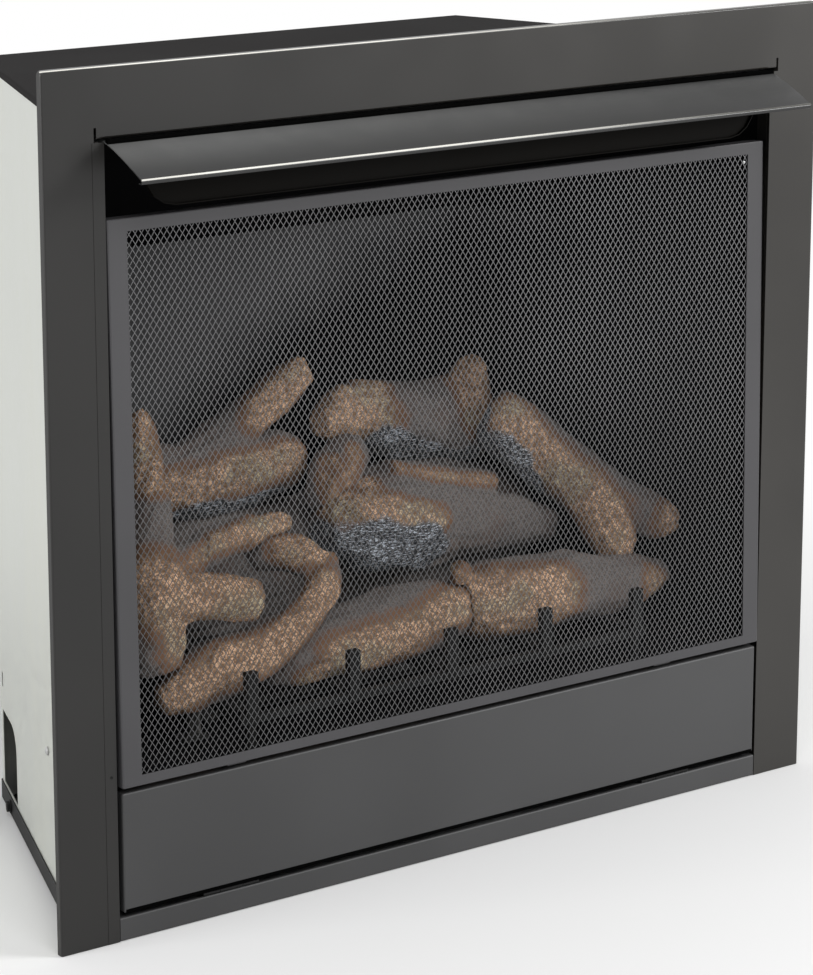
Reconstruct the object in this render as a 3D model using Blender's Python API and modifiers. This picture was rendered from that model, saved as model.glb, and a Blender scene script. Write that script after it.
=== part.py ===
"""Vent-free gas fireplace insert: folded steel face, curved hood, lift-off mesh screen, drop-down door.

The face is in the plane y = 0 of the root empty, the firebox runs back along +Y, and the base stands
on z = 0. Lengths are metres. The root empty is set back so that the whole part is centred on the origin.
"""

from math import atan2, cos, pi, radians, sin, sqrt

import bmesh
import bpy
from mathutils import Matrix, Vector

# Sheet metal
SHEET = 0.001
GAP = 0.0003
BEND = 0.0015
OVERRUN = 0.01

# Face frame
FACE_WIDTH = 0.870
FACE_HEIGHT = 0.787
STILE_WIDTH = 0.050
TOP_RAIL_HEIGHT = 0.0615
FACE_RETURN = 0.007
STILE_RETURN = 0.010
TOP_RAIL_RETURN = 0.006
CORNER_RADIUS = 0.004
SLIT_WIDTH = 0.0025
SLIT_RISE = 0.0095

# Casing
CASING_DEPTH = 0.386
FACE_OVERHANG = 0.0205
REAR_INSET = 0.134
TOP_STEP = 0.041
SIDE_FLANGE = 0.024
REAR_FLANGE = 0.012
TOP_FLANGE = 0.006
TOP_FRONT_FLANGE = 0.009
PAN_FLANGE = 0.020

# Gas line access in each side panel, and the small slot above it
ACCESS_LENGTH = 0.070
ACCESS_HEIGHT = 0.076
ACCESS_SILL = 0.022
ACCESS_RADIUS = 0.025
ACCESS_MARGIN = 0.012
SLOT_HEIGHT = 0.015
SLOT_LENGTH = 0.004
SLOT_SILL = 0.122

# Jambs that frame the screen and the door
JAMB_SHOW = 0.008
JAMB_LIP = 0.004
JAMB_DEPTH = 0.022
JAMB_LEAN = 0.006
STOP_WIDTH = 0.016
STOP_HEIGHT = 0.012
STOP_DROP = 0.0343

# Header that carries the hood and the smoke baffle
HEADER_LAP = 0.009
HEADER_SETBACK = 0.012
HEADER_TOP_FLANGE = 0.018
HEADER_LOWER_FLANGE = 0.024
HEADER_DROP = 0.003

# Hood and the rounded apron under it
HOOD_SIDE_GAP = 0.0105
HOOD_REACH = 0.060
HOOD_DROP = 0.025
HOOD_CURVE_POWER = 1.25
HOOD_CURVE_STEPS = 8
HOOD_REAR_FLANGE = 0.030
HOOD_LIP = 0.0035
HOOD_HEM = 0.005
APRON_INSET = 0.032
APRON_FORWARD = 0.0115
APRON_DROP = 0.0575
APRON_RADIUS = 0.030
APRON_FLANGE = 0.012
APRON_ROLL = 0.0025

# Bottom rail
RAIL_SIDE_GAP = 0.0105
RAIL_HEIGHT = 0.022
RAIL_DEPTH = 0.016

# Hearth and firebox liner
HEARTH_LEVEL = 0.1415
HEARTH_SETBACK = 0.0095
HEARTH_LIP = 0.008
LINER_SIDE_STEP = 0.006
LINER_REAR_INSET = 0.0195
LINER_REAR_CLEARANCE = 0.026
LINER_FLANGE = 0.0095
LINER_BACK_LAP = 0.030
BAFFLE_FALL = 0.1725
BAFFLE_REAR_FLANGE = 0.022
BAFFLE_FRONT_FLANGE = 0.025

# Screen
SCREEN_SIDE_GAP = 0.005
SCREEN_TOP_CLEARANCE = 0.0682
SCREEN_SIDE_BAR = 0.020
SCREEN_TOP_BAR = 0.0118
SCREEN_BOTTOM_BAR = 0.0098
SCREEN_DEPTH = 0.012
SCREEN_LIFT = 0.0028
SCREEN_FORWARD = 0.005
SCREEN_LEAN = 0.009
FOOT_WIDTH = 0.020
FOOT_DEPTH = 0.018
FOOT_SETBACK = 0.004
FOOT_DROP = 0.0021
FOOT_INSET = 0.122
NET_COLUMNS = 14
NET_ROWS = 7
NET_RIM = 0.006
NET_STRAND = 0.005

# Access door, its hinges and its catch
DOOR_SIDE_GAP = 0.006
DOOR_LIFT = 0.0023
DOOR_TOP_GAP = 0.0053
DOOR_FORWARD = 0.002
DOOR_DEPTH = 0.010
HINGE_INSET = 0.114
HINGE_LENGTH = 0.060
HINGE_CENTRE_LENGTH = 0.024
HINGE_AXIS_SETBACK = 0.001
HINGE_AXIS_LIFT = 0.0024
KNUCKLE_RADIUS = 0.0018
PIN_RADIUS = 0.001
PIN_CLEARANCE = 0.0003
KNUCKLE_GAP = 0.0005
LEAF_DEPTH = 0.0070
CATCH_WIDTH = 0.040
CATCH_HEIGHT = 0.012
CATCH_DEPTH = 0.030
CATCH_DROP = 0.021

# Controls behind the door
PLATE_SETBACK = 0.040
PLATE_LEFT = 0.175
PLATE_RIGHT = 0.020
PLATE_HEIGHT = 0.105
PLATE_FOOT = 0.020
CONTROL_LEVEL = 0.066
VALVE_OFFSET = 0.120
VALVE_WIDTH = 0.070
VALVE_HEIGHT = 0.050
VALVE_DEPTH = 0.052
VALVE_BEVEL = 0.004
VALVE_DOME_RADIUS = 0.020
VALVE_DOME_HEIGHT = 0.012
STEM_RADIUS = 0.004
STEM_LENGTH = 0.014
KNOB_RADIUS = 0.0195
KNOB_GRIP_RADIUS = 0.015
KNOB_SKIRT = 0.005
KNOB_HEIGHT = 0.021
KNOB_FLOAT = 0.003
KNOB_POINTER_WIDTH = 0.006
KNOB_POINTER_HEIGHT = 0.003
IGNITER_OFFSET = 0.055
IGNITER_BEZEL_RADIUS = 0.011
IGNITER_BEZEL_HEIGHT = 0.003
IGNITER_BARREL_RADIUS = 0.0087
IGNITER_BARREL_LENGTH = 0.036
BUTTON_RADIUS = 0.0055
BUTTON_LENGTH = 0.022
BUTTON_PROUD = 0.0085
BUTTON_TRAVEL = 0.004

# Gas pipes, regulator and inlet
PIPE_RADIUS = 0.005
PILOT_TUBE_RADIUS = 0.0022
PIPE_LEVEL = 0.055
PIPE_BEND = 0.012
PIPE_STRAIGHT = 0.016
PILOT_BEND = 0.008
REGULATOR_OFFSET = 0.200
REGULATOR_SETBACK = 0.150
REGULATOR_RADIUS = 0.024
REGULATOR_HEIGHT = 0.030
REGULATOR_WAIST_RADIUS = 0.014
INLET_SIDE_CLEARANCE = 0.0942
INLET_SETBACK = 0.275
INLET_BRACKET_WIDTH = 0.040
INLET_BRACKET_HEIGHT = 0.072
INLET_BRACKET_FOOT = 0.016
INLET_HEX_RADIUS = 0.011
INLET_NIPPLE_RADIUS = 0.0075
INLET_HEX_LENGTH = 0.012
INLET_NIPPLE_LENGTH = 0.018

# Burner
BURNER_RADIUS = 0.009
BURNER_HALF_LENGTH = 0.200
BURNER_LEVEL = 0.1535
BURNER_FRONT_SETBACK = 0.115
BURNER_REAR_SETBACK = 0.190
MANIFOLD_RADIUS = 0.010
CRADLE_SHEET = 0.002
CRADLE_INSET = 0.020
CRADLE_MARGIN = 0.020
PILOT_SIDE_CLEARANCE = 0.0347
PILOT_SETBACK = 0.085
PILOT_BASE_WIDTH = 0.026
PILOT_BASE_DEPTH = 0.020
PILOT_BASE_HEIGHT = 0.003
PILOT_HOOD_RADIUS = 0.005
PILOT_HOOD_HEIGHT = 0.022
ELECTRODE_RADIUS = 0.0025
ELECTRODE_HEIGHT = 0.026
ELECTRODE_OFFSET = 0.008

# Grate
GRATE_OFFSET = 0.010
GRATE_SIDE_CLEARANCE = 0.034
GRATE_BARS = 5
GRATE_BAR_WIDTH = 0.012
GRATE_BAR_HEIGHT = 0.010
GRATE_TOP = 0.176
GRATE_PRONG_TOP = 0.216
GRATE_PRONG_DEPTH = 0.008
GRATE_FRONT = 0.0215
GRATE_REAR_CLEARANCE = 0.070
GRATE_CROSS_INSET = 0.020
GRATE_WELD = 0.001
GRATE_LEG_WIDTH = 0.008

# Log set: room that the pile leaves round it, and the radius that the girths in LOG_SHARES follow
PILE_SIDE_CLEARANCE = 0.083
PILE_FRONT = 0.035
PILE_REAR_CLEARANCE = 0.075
PILE_RISE = 0.270
LIMB_RADIUS = 0.050
SEAT_GAP = 0.0006

# Fasteners that show on the casing
SIDE_SCREW_SETBACK = 0.137
SIDE_SCREW_LEVEL = 0.139
SCREW_RADIUS = 0.004
SCREW_HEIGHT = 0.0022
BASE_BOLT_INSET = 0.049
BASE_BOLT_LEVEL = 0.010
BOLT_RADIUS = 0.005
BOLT_HEIGHT = 0.003

ROUND_STEPS = 24
SMALL_ROUND_STEPS = 12
HEX_STEPS = 6
ARC_STEPS = 4
BURNER_STEPS = 16
SHARP_ANGLE = 42
FOLD_ANGLE = 35
MERGE = 0.00001

# Sizes that follow from those above
CASING_TOP = FACE_HEIGHT - TOP_STEP
CASING_FRONT = SHEET + GAP
FRONT_HALF_WIDTH = FACE_WIDTH / 2 - FACE_OVERHANG
REAR_HALF_WIDTH = FRONT_HALF_WIDTH - REAR_INSET
BACK_FACE = CASING_DEPTH + GAP + SHEET
REAR_FACE = BACK_FACE + GAP + SHEET
PAN_FRONT = RAIL_DEPTH + GAP
SHEET_FOOT = SHEET + GAP
OPENING_TOP = FACE_HEIGHT - TOP_RAIL_HEIGHT
HEADER_LEVEL = OPENING_TOP - HEADER_DROP
HOOD_LEVEL = HEADER_LEVEL - GAP
APRON_LOWER_EDGE = HEADER_LEVEL - APRON_DROP
BAFFLE_REAR_LEVEL = HEADER_LEVEL - BAFFLE_FALL
LINER_BACK_TOP = BAFFLE_REAR_LEVEL + LINER_BACK_LAP
SCREEN_LEVEL = HEARTH_LEVEL + SCREEN_LIFT
SCREEN_HEIGHT = HEADER_LEVEL - SCREEN_TOP_CLEARANCE - SCREEN_LEVEL
STOP_LEVEL = SCREEN_LEVEL + SCREEN_HEIGHT - STOP_DROP
HINGE_AXIS_LEVEL = RAIL_HEIGHT + HINGE_AXIS_LIFT
DOOR_LOWER_EDGE = HINGE_AXIS_LEVEL + DOOR_LIFT
DOOR_UPPER_EDGE = SCREEN_LEVEL - DOOR_TOP_GAP
CATCH_LEVEL = DOOR_UPPER_EDGE - CATCH_DROP
STILE_INNER = FACE_WIDTH / 2 - STILE_WIDTH
JAMB_HALF_OPENING = STILE_INNER - JAMB_SHOW
HOOD_HALF_WIDTH = STILE_INNER - HOOD_SIDE_GAP
APRON_HALF_WIDTH = HOOD_HALF_WIDTH - APRON_INSET
RAIL_HALF_WIDTH = STILE_INNER - RAIL_SIDE_GAP
SCREEN_HALF_WIDTH = JAMB_HALF_OPENING - SCREEN_SIDE_GAP
DOOR_HALF_WIDTH = JAMB_HALF_OPENING - DOOR_SIDE_GAP
LINER_FRONT_HALF_WIDTH = JAMB_HALF_OPENING + LINER_SIDE_STEP
LINER_REAR_HALF_WIDTH = REAR_HALF_WIDTH - LINER_REAR_INSET
LINER_DEPTH = CASING_DEPTH - LINER_REAR_CLEARANCE
HEADER_HALF_WIDTH = LINER_FRONT_HALF_WIDTH + HEADER_LAP
GRATE_PITCH = 2 * (LINER_REAR_HALF_WIDTH - GRATE_SIDE_CLEARANCE) / (GRATE_BARS - 1)
FEED_OFFSET = BURNER_HALF_LENGTH + GAP + MANIFOLD_RADIUS
PILOT_OFFSET = FEED_OFFSET + PILOT_SIDE_CLEARANCE
BURNER_CENTRE = (BURNER_FRONT_SETBACK + BURNER_REAR_SETBACK) / 2
GRATE_REAR = LINER_DEPTH - GRATE_REAR_CLEARANCE
GRATE_CROSS_SETBACK = GRATE_REAR - GRATE_CROSS_INSET
PILE_SPREAD = LINER_FRONT_HALF_WIDTH - PILE_SIDE_CLEARANCE
PILE_REACH = LINER_DEPTH - PILE_REAR_CLEARANCE - PILE_FRONT
FACE_Y = (HOOD_REACH - REAR_FACE) / 2

BARK_TWIST = 0.7

# Irregular outline of a log: one share of the radius for each corner
BARK_SHARES = (1.00, 0.94, 1.04, 0.97, 0.91, 1.02, 0.95, 1.05, 0.93)

# Logs: limbs as points (across, back, up, girth) in shares of the log set's unit lengths
LOG_SHARES = {
    "log_rear_base": (
        ((-0.80, 0.84, 0.18, 1.26), (-0.40, 0.85, 0.23, 1.48), (0.00, 0.85, 0.21, 1.36),
         (0.44, 0.86, 0.26, 1.54), (0.78, 0.85, 0.20, 1.26)),
    ),
    "log_front_middle": (
        ((-0.55, 0.21, 0.01, 0.28), (-0.46, 0.21, 0.04, 0.58), (-0.34, 0.21, 0.08, 0.73),
         (-0.20, 0.21, 0.10, 0.78), (-0.04, 0.21, 0.12, 0.77), (0.13, 0.21, 0.13, 0.70),
         (0.22, 0.21, 0.14, 0.50)),
    ),
    "log_front_right": (
        ((0.20, 0.20, 0.16, 0.58), (0.32, 0.20, 0.14, 0.86), (0.52, 0.20, 0.13, 0.81),
         (0.71, 0.20, 0.12, 0.72), (0.90, 0.20, 0.10, 0.57), (1.04, 0.20, 0.09, 0.32)),
        ((0.20, 0.16, 0.25, 0.25), (0.17, 0.15, 0.32, 0.21)),
    ),
    "log_front_diagonal": (
        ((-0.97, 0.12, 0.05, 0.28), (-0.89, 0.13, 0.07, 0.46), (-0.76, 0.13, 0.10, 0.53),
         (-0.61, 0.14, 0.14, 0.52), (-0.48, 0.15, 0.20, 0.46), (-0.37, 0.18, 0.27, 0.39),
         (-0.30, 0.22, 0.36, 0.33), (-0.29, 0.26, 0.42, 0.27)),
        ((-0.33, 0.24, 0.38, 0.34), (-0.36, 0.32, 0.42, 0.40), (-0.43, 0.38, 0.42, 0.38),
         (-0.48, 0.42, 0.39, 0.27)),
    ),
    "log_middle": (
        ((-0.14, 0.52, 0.42, 0.55), (-0.07, 0.52, 0.42, 0.79), (0.07, 0.52, 0.43, 0.91),
         (0.23, 0.52, 0.41, 0.88), (0.41, 0.52, 0.36, 0.74), (0.60, 0.52, 0.32, 0.56),
         (0.79, 0.52, 0.28, 0.32)),
        ((0.13, 0.56, 0.55, 0.47), (0.34, 0.54, 0.51, 0.38), (0.56, 0.54, 0.47, 0.26)),
        ((-0.05, 0.46, 0.36, 0.52), (0.10, 0.46, 0.33, 0.54), (0.32, 0.46, 0.30, 0.42)),
    ),
    "log_rear_left": (
        ((-0.64, 0.86, 0.61, 0.72), (-0.46, 0.84, 0.60, 0.80), (-0.28, 0.82, 0.61, 0.74),
         (-0.14, 0.82, 0.63, 0.58), (-0.07, 0.82, 0.64, 0.36)),
        ((-0.51, 0.84, 0.63, 0.58), (-0.32, 0.80, 0.78, 0.47), (-0.18, 0.75, 0.90, 0.37),
         (-0.13, 0.73, 0.95, 0.27)),
    ),
    "log_rear_right": (
        ((0.15, 0.88, 0.76, 0.52), (0.25, 0.88, 0.72, 0.76), (0.42, 0.88, 0.67, 0.86),
         (0.58, 0.88, 0.64, 0.82), (0.71, 0.88, 0.61, 0.64)),
        ((0.65, 0.86, 0.68, 0.49), (0.64, 0.84, 0.77, 0.39), (0.63, 0.82, 0.83, 0.30)),
        ((0.16, 0.84, 0.74, 0.52), (0.05, 0.80, 0.73, 0.38), (-0.01, 0.78, 0.75, 0.27)),
    ),
    "log_centre_stub": (
        ((0.09, 0.72, 0.65, 0.40), (-0.01, 0.64, 0.60, 0.51), (-0.08, 0.57, 0.54, 0.49),
         (-0.11, 0.53, 0.48, 0.36)),
    ),
    "log_left_fork": (
        ((-0.80, 0.54, 0.93, 0.20), (-0.81, 0.50, 0.86, 0.27), (-0.85, 0.40, 0.74, 0.31),
         (-0.92, 0.26, 0.60, 0.38), (-0.97, 0.14, 0.46, 0.52), (-0.99, 0.13, 0.30, 0.48),
         (-0.98, 0.13, 0.16, 0.40)),
        ((-0.95, 0.12, 0.40, 0.54), (-0.81, 0.11, 0.39, 0.50), (-0.69, 0.10, 0.37, 0.45),
         (-0.63, 0.10, 0.35, 0.34)),
        ((-0.93, 0.18, 0.47, 0.40), (-0.74, 0.26, 0.51, 0.35), (-0.54, 0.34, 0.52, 0.30),
         (-0.36, 0.40, 0.52, 0.21)),
    ),
    "log_crossing": (
        ((0.65, 0.64, 0.65, 0.50), (0.71, 0.60, 0.60, 0.67), (0.81, 0.52, 0.51, 0.69),
         (0.88, 0.40, 0.41, 0.65), (0.89, 0.28, 0.29, 0.50), (0.89, 0.23, 0.22, 0.34)),
        ((0.89, 0.40, 0.44, 0.53), (1.00, 0.33, 0.35, 0.47), (1.08, 0.28, 0.29, 0.39),
         (1.11, 0.27, 0.27, 0.26)),
    ),
}

# Which earlier logs each log is notched to sit on
LOG_SEATS = {
    "log_rear_base": (),
    "log_front_middle": (),
    "log_front_right": ("log_front_middle",),
    "log_front_diagonal": ("log_front_middle",),
    "log_middle": ("log_rear_base", "log_front_middle", "log_front_right", "log_front_diagonal"),
    "log_rear_left": ("log_rear_base", "log_middle"),
    "log_rear_right": ("log_rear_base", "log_middle", "log_rear_left"),
    "log_centre_stub": ("log_rear_base", "log_middle", "log_rear_left", "log_rear_right"),
    "log_left_fork": ("log_front_diagonal", "log_front_middle", "log_rear_left", "log_middle"),
    "log_crossing": ("log_rear_right", "log_middle", "log_front_right", "log_rear_base"),
}


def clear_scene():
    """Remove every object of the open scene."""
    for obj in list(bpy.data.objects):
        bpy.data.objects.remove(obj, do_unlink=True)


def new_collection(name):
    """Return a new collection linked to the scene."""
    collection = bpy.data.collections.new(name)
    bpy.context.scene.collection.children.link(collection)
    return collection


def new_material(name, colour, roughness, metallic):
    """Return a Principled material."""
    material = bpy.data.materials.new(name)
    material.use_nodes = True
    shader = material.node_tree.nodes["Principled BSDF"]
    shader.inputs["Base Color"].default_value = (*colour, 1.0)
    shader.inputs["Roughness"].default_value = roughness
    shader.inputs["Metallic"].default_value = metallic
    material.diffuse_color = (*colour, 1.0)
    return material


clear_scene()
PARTS = new_collection("gas_fireplace_insert")
CUTTERS = new_collection("cutters")

FACE_BLACK = new_material("face_black_powder_coat", (0.060, 0.058, 0.054), 0.42, 0.1)
DOOR_BLACK = new_material("door_black_powder_coat", (0.085, 0.085, 0.088), 0.45, 0.1)
SCREEN_BLACK = new_material("screen_black_powder_coat", (0.090, 0.090, 0.098), 0.55, 0.1)
DEEP_BLACK = new_material("chassis_black_paint", (0.012, 0.012, 0.012), 0.60, 0.0)
MESH_GREY = new_material("expanded_mesh_steel", (0.22, 0.22, 0.22), 0.45, 0.6)
GALVANISED = new_material("galvanised_sheet", (0.58, 0.60, 0.57), 0.42, 0.7)
LINER_GREY = new_material("liner_dark_paint", (0.035, 0.035, 0.037), 0.70, 0.0)
CAST_BLACK = new_material("grate_black_steel", (0.018, 0.018, 0.018), 0.65, 0.3)
LOG_CLAY = new_material("refractory_log", (0.30, 0.21, 0.14), 0.90, 0.0)
STEEL = new_material("bright_steel", (0.45, 0.45, 0.46), 0.35, 0.9)
ALUMINISED = new_material("aluminised_burner_steel", (0.36, 0.36, 0.37), 0.50, 0.8)
BRASS = new_material("fitting_brass", (0.60, 0.42, 0.18), 0.35, 0.9)
VALVE_METAL = new_material("valve_die_casting", (0.40, 0.41, 0.42), 0.55, 0.8)
KNOB_BLACK = new_material("knob_black_plastic", (0.020, 0.020, 0.020), 0.40, 0.0)
BUTTON_RED = new_material("igniter_red_plastic", (0.45, 0.03, 0.02), 0.35, 0.0)
CERAMIC = new_material("electrode_white_ceramic", (0.80, 0.79, 0.75), 0.30, 0.0)


def new_empty(name, location, parent=None):
    """Return an empty at a point of the root's own frame."""
    empty = bpy.data.objects.new(name, None)
    PARTS.objects.link(empty)
    empty.location = location
    empty.parent = parent
    return empty


ROOT = new_empty("insert_root", (0, FACE_Y, 0))


def place(obj, parent):
    """Hang an object, modelled in the root's frame, on an axis empty without moving it."""
    obj.parent = parent
    if parent is not ROOT:
        obj.matrix_parent_inverse = Matrix.Translation(parent.location).inverted()
    return obj


def object_from_bmesh(name, bm, material, parent=None, collection=None):
    """Turn a bmesh into an object of the part, or of the cutters."""
    mesh = bpy.data.meshes.new(name)
    bm.to_mesh(mesh)
    bm.free()
    if material is not None:
        mesh.materials.append(material)
    obj = bpy.data.objects.new(name, mesh)
    (collection or PARTS).objects.link(obj)
    place(obj, parent or ROOT)
    return obj


def baked(obj):
    """Replace an object's mesh by its evaluated mesh and drop its modifiers."""
    bpy.context.view_layer.update()
    graph = bpy.context.evaluated_depsgraph_get()
    mesh = bpy.data.meshes.new_from_object(obj.evaluated_get(graph), depsgraph=graph)
    obj.modifiers.clear()
    obj.data = mesh
    return obj


def hide_cutter(obj):
    """Mark an object as a guide that isn't part of the model."""
    obj.hide_render = True
    obj.display_type = "WIRE"
    return obj


def boolean(obj, other, operation):
    """Combine an object with another and keep only the result; the other becomes a cutter."""
    if other.name not in CUTTERS.objects:
        CUTTERS.objects.link(other)
        PARTS.objects.unlink(other)
    hide_cutter(other)
    modifier = obj.modifiers.new(operation.lower(), "BOOLEAN")
    modifier.operation = operation
    modifier.object = other
    modifier.solver = "EXACT"
    return baked(obj)


def joined(obj, *others):
    """Fuse other solids into the first one."""
    for other in others:
        boolean(obj, other, "UNION")
    return obj


def cut(obj, *cutters):
    """Cut other solids out of the first one."""
    for cutter in cutters:
        boolean(obj, cutter, "DIFFERENCE")
    return obj


def add_box(name, low, high, material=None, parent=None):
    """Return a box between two opposite corners."""
    bm = bmesh.new()
    size = Vector(high) - Vector(low)
    centre = (Vector(high) + Vector(low)) / 2
    bmesh.ops.create_cube(bm, size=1.0, matrix=Matrix.Translation(centre) @ Matrix.Diagonal((*size, 1.0)))
    return object_from_bmesh(name, bm, material, parent)


def add_rod(name, start, end, radius, material=None, parent=None, steps=ROUND_STEPS):
    """Return a closed cylinder between two points."""
    start = Vector(start)
    axis = Vector(end) - start
    turn = axis.to_track_quat("Z", "Y").to_matrix().to_4x4()
    matrix = Matrix.Translation(start + axis / 2) @ turn
    bm = bmesh.new()
    bmesh.ops.create_cone(bm, cap_ends=True, segments=steps, radius1=radius, radius2=radius,
                          depth=axis.length, matrix=matrix)
    obj = object_from_bmesh(name, bm, material, parent)
    obj.data.shade_smooth()
    obj.data.set_sharp_from_angle(angle=radians(SHARP_ANGLE))
    return obj


def orient(bm, outward):
    """Turn an open surface so that its largest face looks along the outward direction."""
    bmesh.ops.recalc_face_normals(bm, faces=bm.faces[:])
    largest = max(bm.faces, key=lambda face: face.calc_area())
    if largest.normal.dot(Vector(outward)) < 0:
        bmesh.ops.reverse_faces(bm, faces=bm.faces[:])


def fold_edges(bm, edges, offset):
    """Fold a flange from some edges of an open surface."""
    swept = bmesh.ops.extrude_edge_only(bm, edges=edges)["geom"]
    moved = [item for item in swept if isinstance(item, bmesh.types.BMVert)]
    bmesh.ops.translate(bm, verts=moved, vec=Vector(offset))


def sheet_object(name, bm, outward, material, parent=None, thickness=SHEET, bend=BEND):
    """Give an open surface its bends and its sheet thickness, which lies behind the surface."""
    orient(bm, outward)
    obj = object_from_bmesh(name, bm, material, parent)
    if bend:
        bevel = obj.modifiers.new("bends", "BEVEL")
        bevel.width = bend
        bevel.segments = 2
        bevel.limit_method = "ANGLE"
        bevel.angle_limit = radians(FOLD_ANGLE)
    wall = obj.modifiers.new("wall", "SOLIDIFY")
    wall.thickness = thickness
    wall.offset = -1.0
    wall.use_even_offset = True
    return baked(obj)


def profile_surface(points, sweep):
    """Return an open surface: a polyline of points swept along a vector."""
    bm = bmesh.new()
    verts = [bm.verts.new(point) for point in points]
    edges = [bm.edges.new(pair) for pair in zip(verts, verts[1:])]
    fold_edges(bm, edges, sweep)
    return bm


def panel_surface(points):
    """Return a bmesh with one flat face, and its edges in the order of its points."""
    bm = bmesh.new()
    face = bm.faces.new([bm.verts.new(point) for point in points])
    return bm, [loop.edge for loop in face.loops]


def mirrored(points):
    """Return right-hand outline points followed by their mirror images, back to the start."""
    return list(points) + [(-point[0], *point[1:]) for point in reversed(points)]


def arc(centre, radius, start, end, steps=ARC_STEPS):
    """Return plane points of an arc, angles in degrees."""
    turns = [radians(start + (end - start) * step / steps) for step in range(steps + 1)]
    return [(centre[0] + radius * cos(turn), centre[1] + radius * sin(turn)) for turn in turns]


def turned_object(name, profile, location, axis, material, parent=None, steps=ROUND_STEPS):
    """Return a solid turned round a vector from (radius, height) points that run down the outer side."""
    bm = bmesh.new()
    verts = [bm.verts.new((radius, 0, height)) for radius, height in profile]
    for pair in zip(verts, verts[1:]):
        if pair[0].co.x or pair[1].co.x:
            bm.edges.new(pair)
    obj = object_from_bmesh(name, bm, material, parent)
    obj.location = location
    obj.rotation_euler = Vector(axis).to_track_quat("Z", "Y").to_euler()
    screw = obj.modifiers.new("turning", "SCREW")
    screw.axis = "Z"
    screw.steps = steps
    screw.render_steps = steps
    screw.use_merge_vertices = True
    screw.merge_threshold = MERGE
    baked(obj)
    obj.data.shade_smooth()
    obj.data.set_sharp_from_angle(angle=radians(SHARP_ANGLE))
    return obj


def extruded_outline(name, points, axis, low, high, material, parent=None):
    """Return a solid with a plane outline, extruded along X, Y or Z from low to high."""
    orders = {"X": lambda a, b, c: (c, a, b), "Y": lambda a, b, c: (a, c, b), "Z": lambda a, b, c: (a, b, c)}
    order = orders[axis]
    bm = bmesh.new()
    face = bm.faces.new([bm.verts.new(order(*point, low)) for point in points])
    swept = bmesh.ops.extrude_face_region(bm, geom=[face])["geom"]
    moved = [item for item in swept if isinstance(item, bmesh.types.BMVert)]
    bmesh.ops.translate(bm, verts=moved, vec=Vector(order(0, 0, high - low)))
    bmesh.ops.recalc_face_normals(bm, faces=bm.faces[:])
    return object_from_bmesh(name, bm, material, parent)


def rounded_path(points, bend):
    """Return path points with an arc in place of each corner."""
    path = [Vector(points[0])]
    for before, corner, after in zip(points, points[1:], points[2:]):
        corner = Vector(corner)
        back = (Vector(before) - corner).normalized()
        ahead = (Vector(after) - corner).normalized()
        half = back.angle(ahead) / 2
        centre = corner + (back + ahead).normalized() * bend / sin(half)
        first = corner + back * bend / sin(half) * cos(half) - centre
        last = corner + ahead * bend / sin(half) * cos(half) - centre
        spread = [first.lerp(last, step / ARC_STEPS).normalized() * bend for step in range(ARC_STEPS + 1)]
        path += [centre + offset for offset in spread]
    return path + [Vector(points[-1])]


def tube_object(name, points, radius, bend, material, resolution=2, parent=None):
    """Return a pipe with straight ends and a round bend at each inner point."""
    curve = bpy.data.curves.new(name, "CURVE")
    curve.dimensions = "3D"
    curve.bevel_depth = radius
    curve.bevel_resolution = resolution
    curve.use_fill_caps = True
    path = rounded_path(points, bend)
    spline = curve.splines.new("POLY")
    spline.points.add(len(path[1:]))
    for knot, point in zip(spline.points, path):
        knot.co = (*point, 1)
    return curve_solid(name, curve, material, parent)


def curve_solid(name, curve, material, parent=None):
    """Turn a bevelled curve into a closed mesh object."""
    carrier = bpy.data.objects.new(name + "_curve", curve)
    PARTS.objects.link(carrier)
    bpy.context.view_layer.update()
    graph = bpy.context.evaluated_depsgraph_get()
    mesh = bpy.data.meshes.new_from_object(carrier.evaluated_get(graph), depsgraph=graph)
    bpy.data.objects.remove(carrier, do_unlink=True)
    bm = bmesh.new()
    bm.from_mesh(mesh)
    bmesh.ops.remove_doubles(bm, verts=bm.verts[:], dist=MERGE)
    bmesh.ops.recalc_face_normals(bm, faces=bm.faces[:])
    obj = object_from_bmesh(name, bm, material, parent)
    obj.data.shade_smooth()
    obj.data.set_sharp_from_angle(angle=radians(SHARP_ANGLE))
    return obj


def side_name(base, side):
    """Return the name of a left (side -1) or right (side +1) piece."""
    return f"{base}_{'left' if side < 0 else 'right'}"


TAPER = atan2(FRONT_HALF_WIDTH - REAR_HALF_WIDTH, CASING_DEPTH - CASING_FRONT)


def casing_half(y):
    """Half width of the casing's outer skin at a depth."""
    run = (y - CASING_FRONT) / (CASING_DEPTH - CASING_FRONT)
    return FRONT_HALF_WIDTH + (REAR_HALF_WIDTH - FRONT_HALF_WIDTH) * run


def liner_half(y):
    """Half width between the liner's side panels at a depth."""
    front = JAMB_DEPTH + SHEET + GAP
    run = (y - front) / (LINER_DEPTH - front)
    return LINER_FRONT_HALF_WIDTH + (LINER_REAR_HALF_WIDTH - LINER_FRONT_HALF_WIDTH) * run


def hood_height(y):
    """Height of the hood's upper skin at a depth in front of the face (y is negative)."""
    return HOOD_LEVEL - HOOD_DROP * max(0.0, -y / HOOD_REACH) ** HOOD_CURVE_POWER


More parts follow.
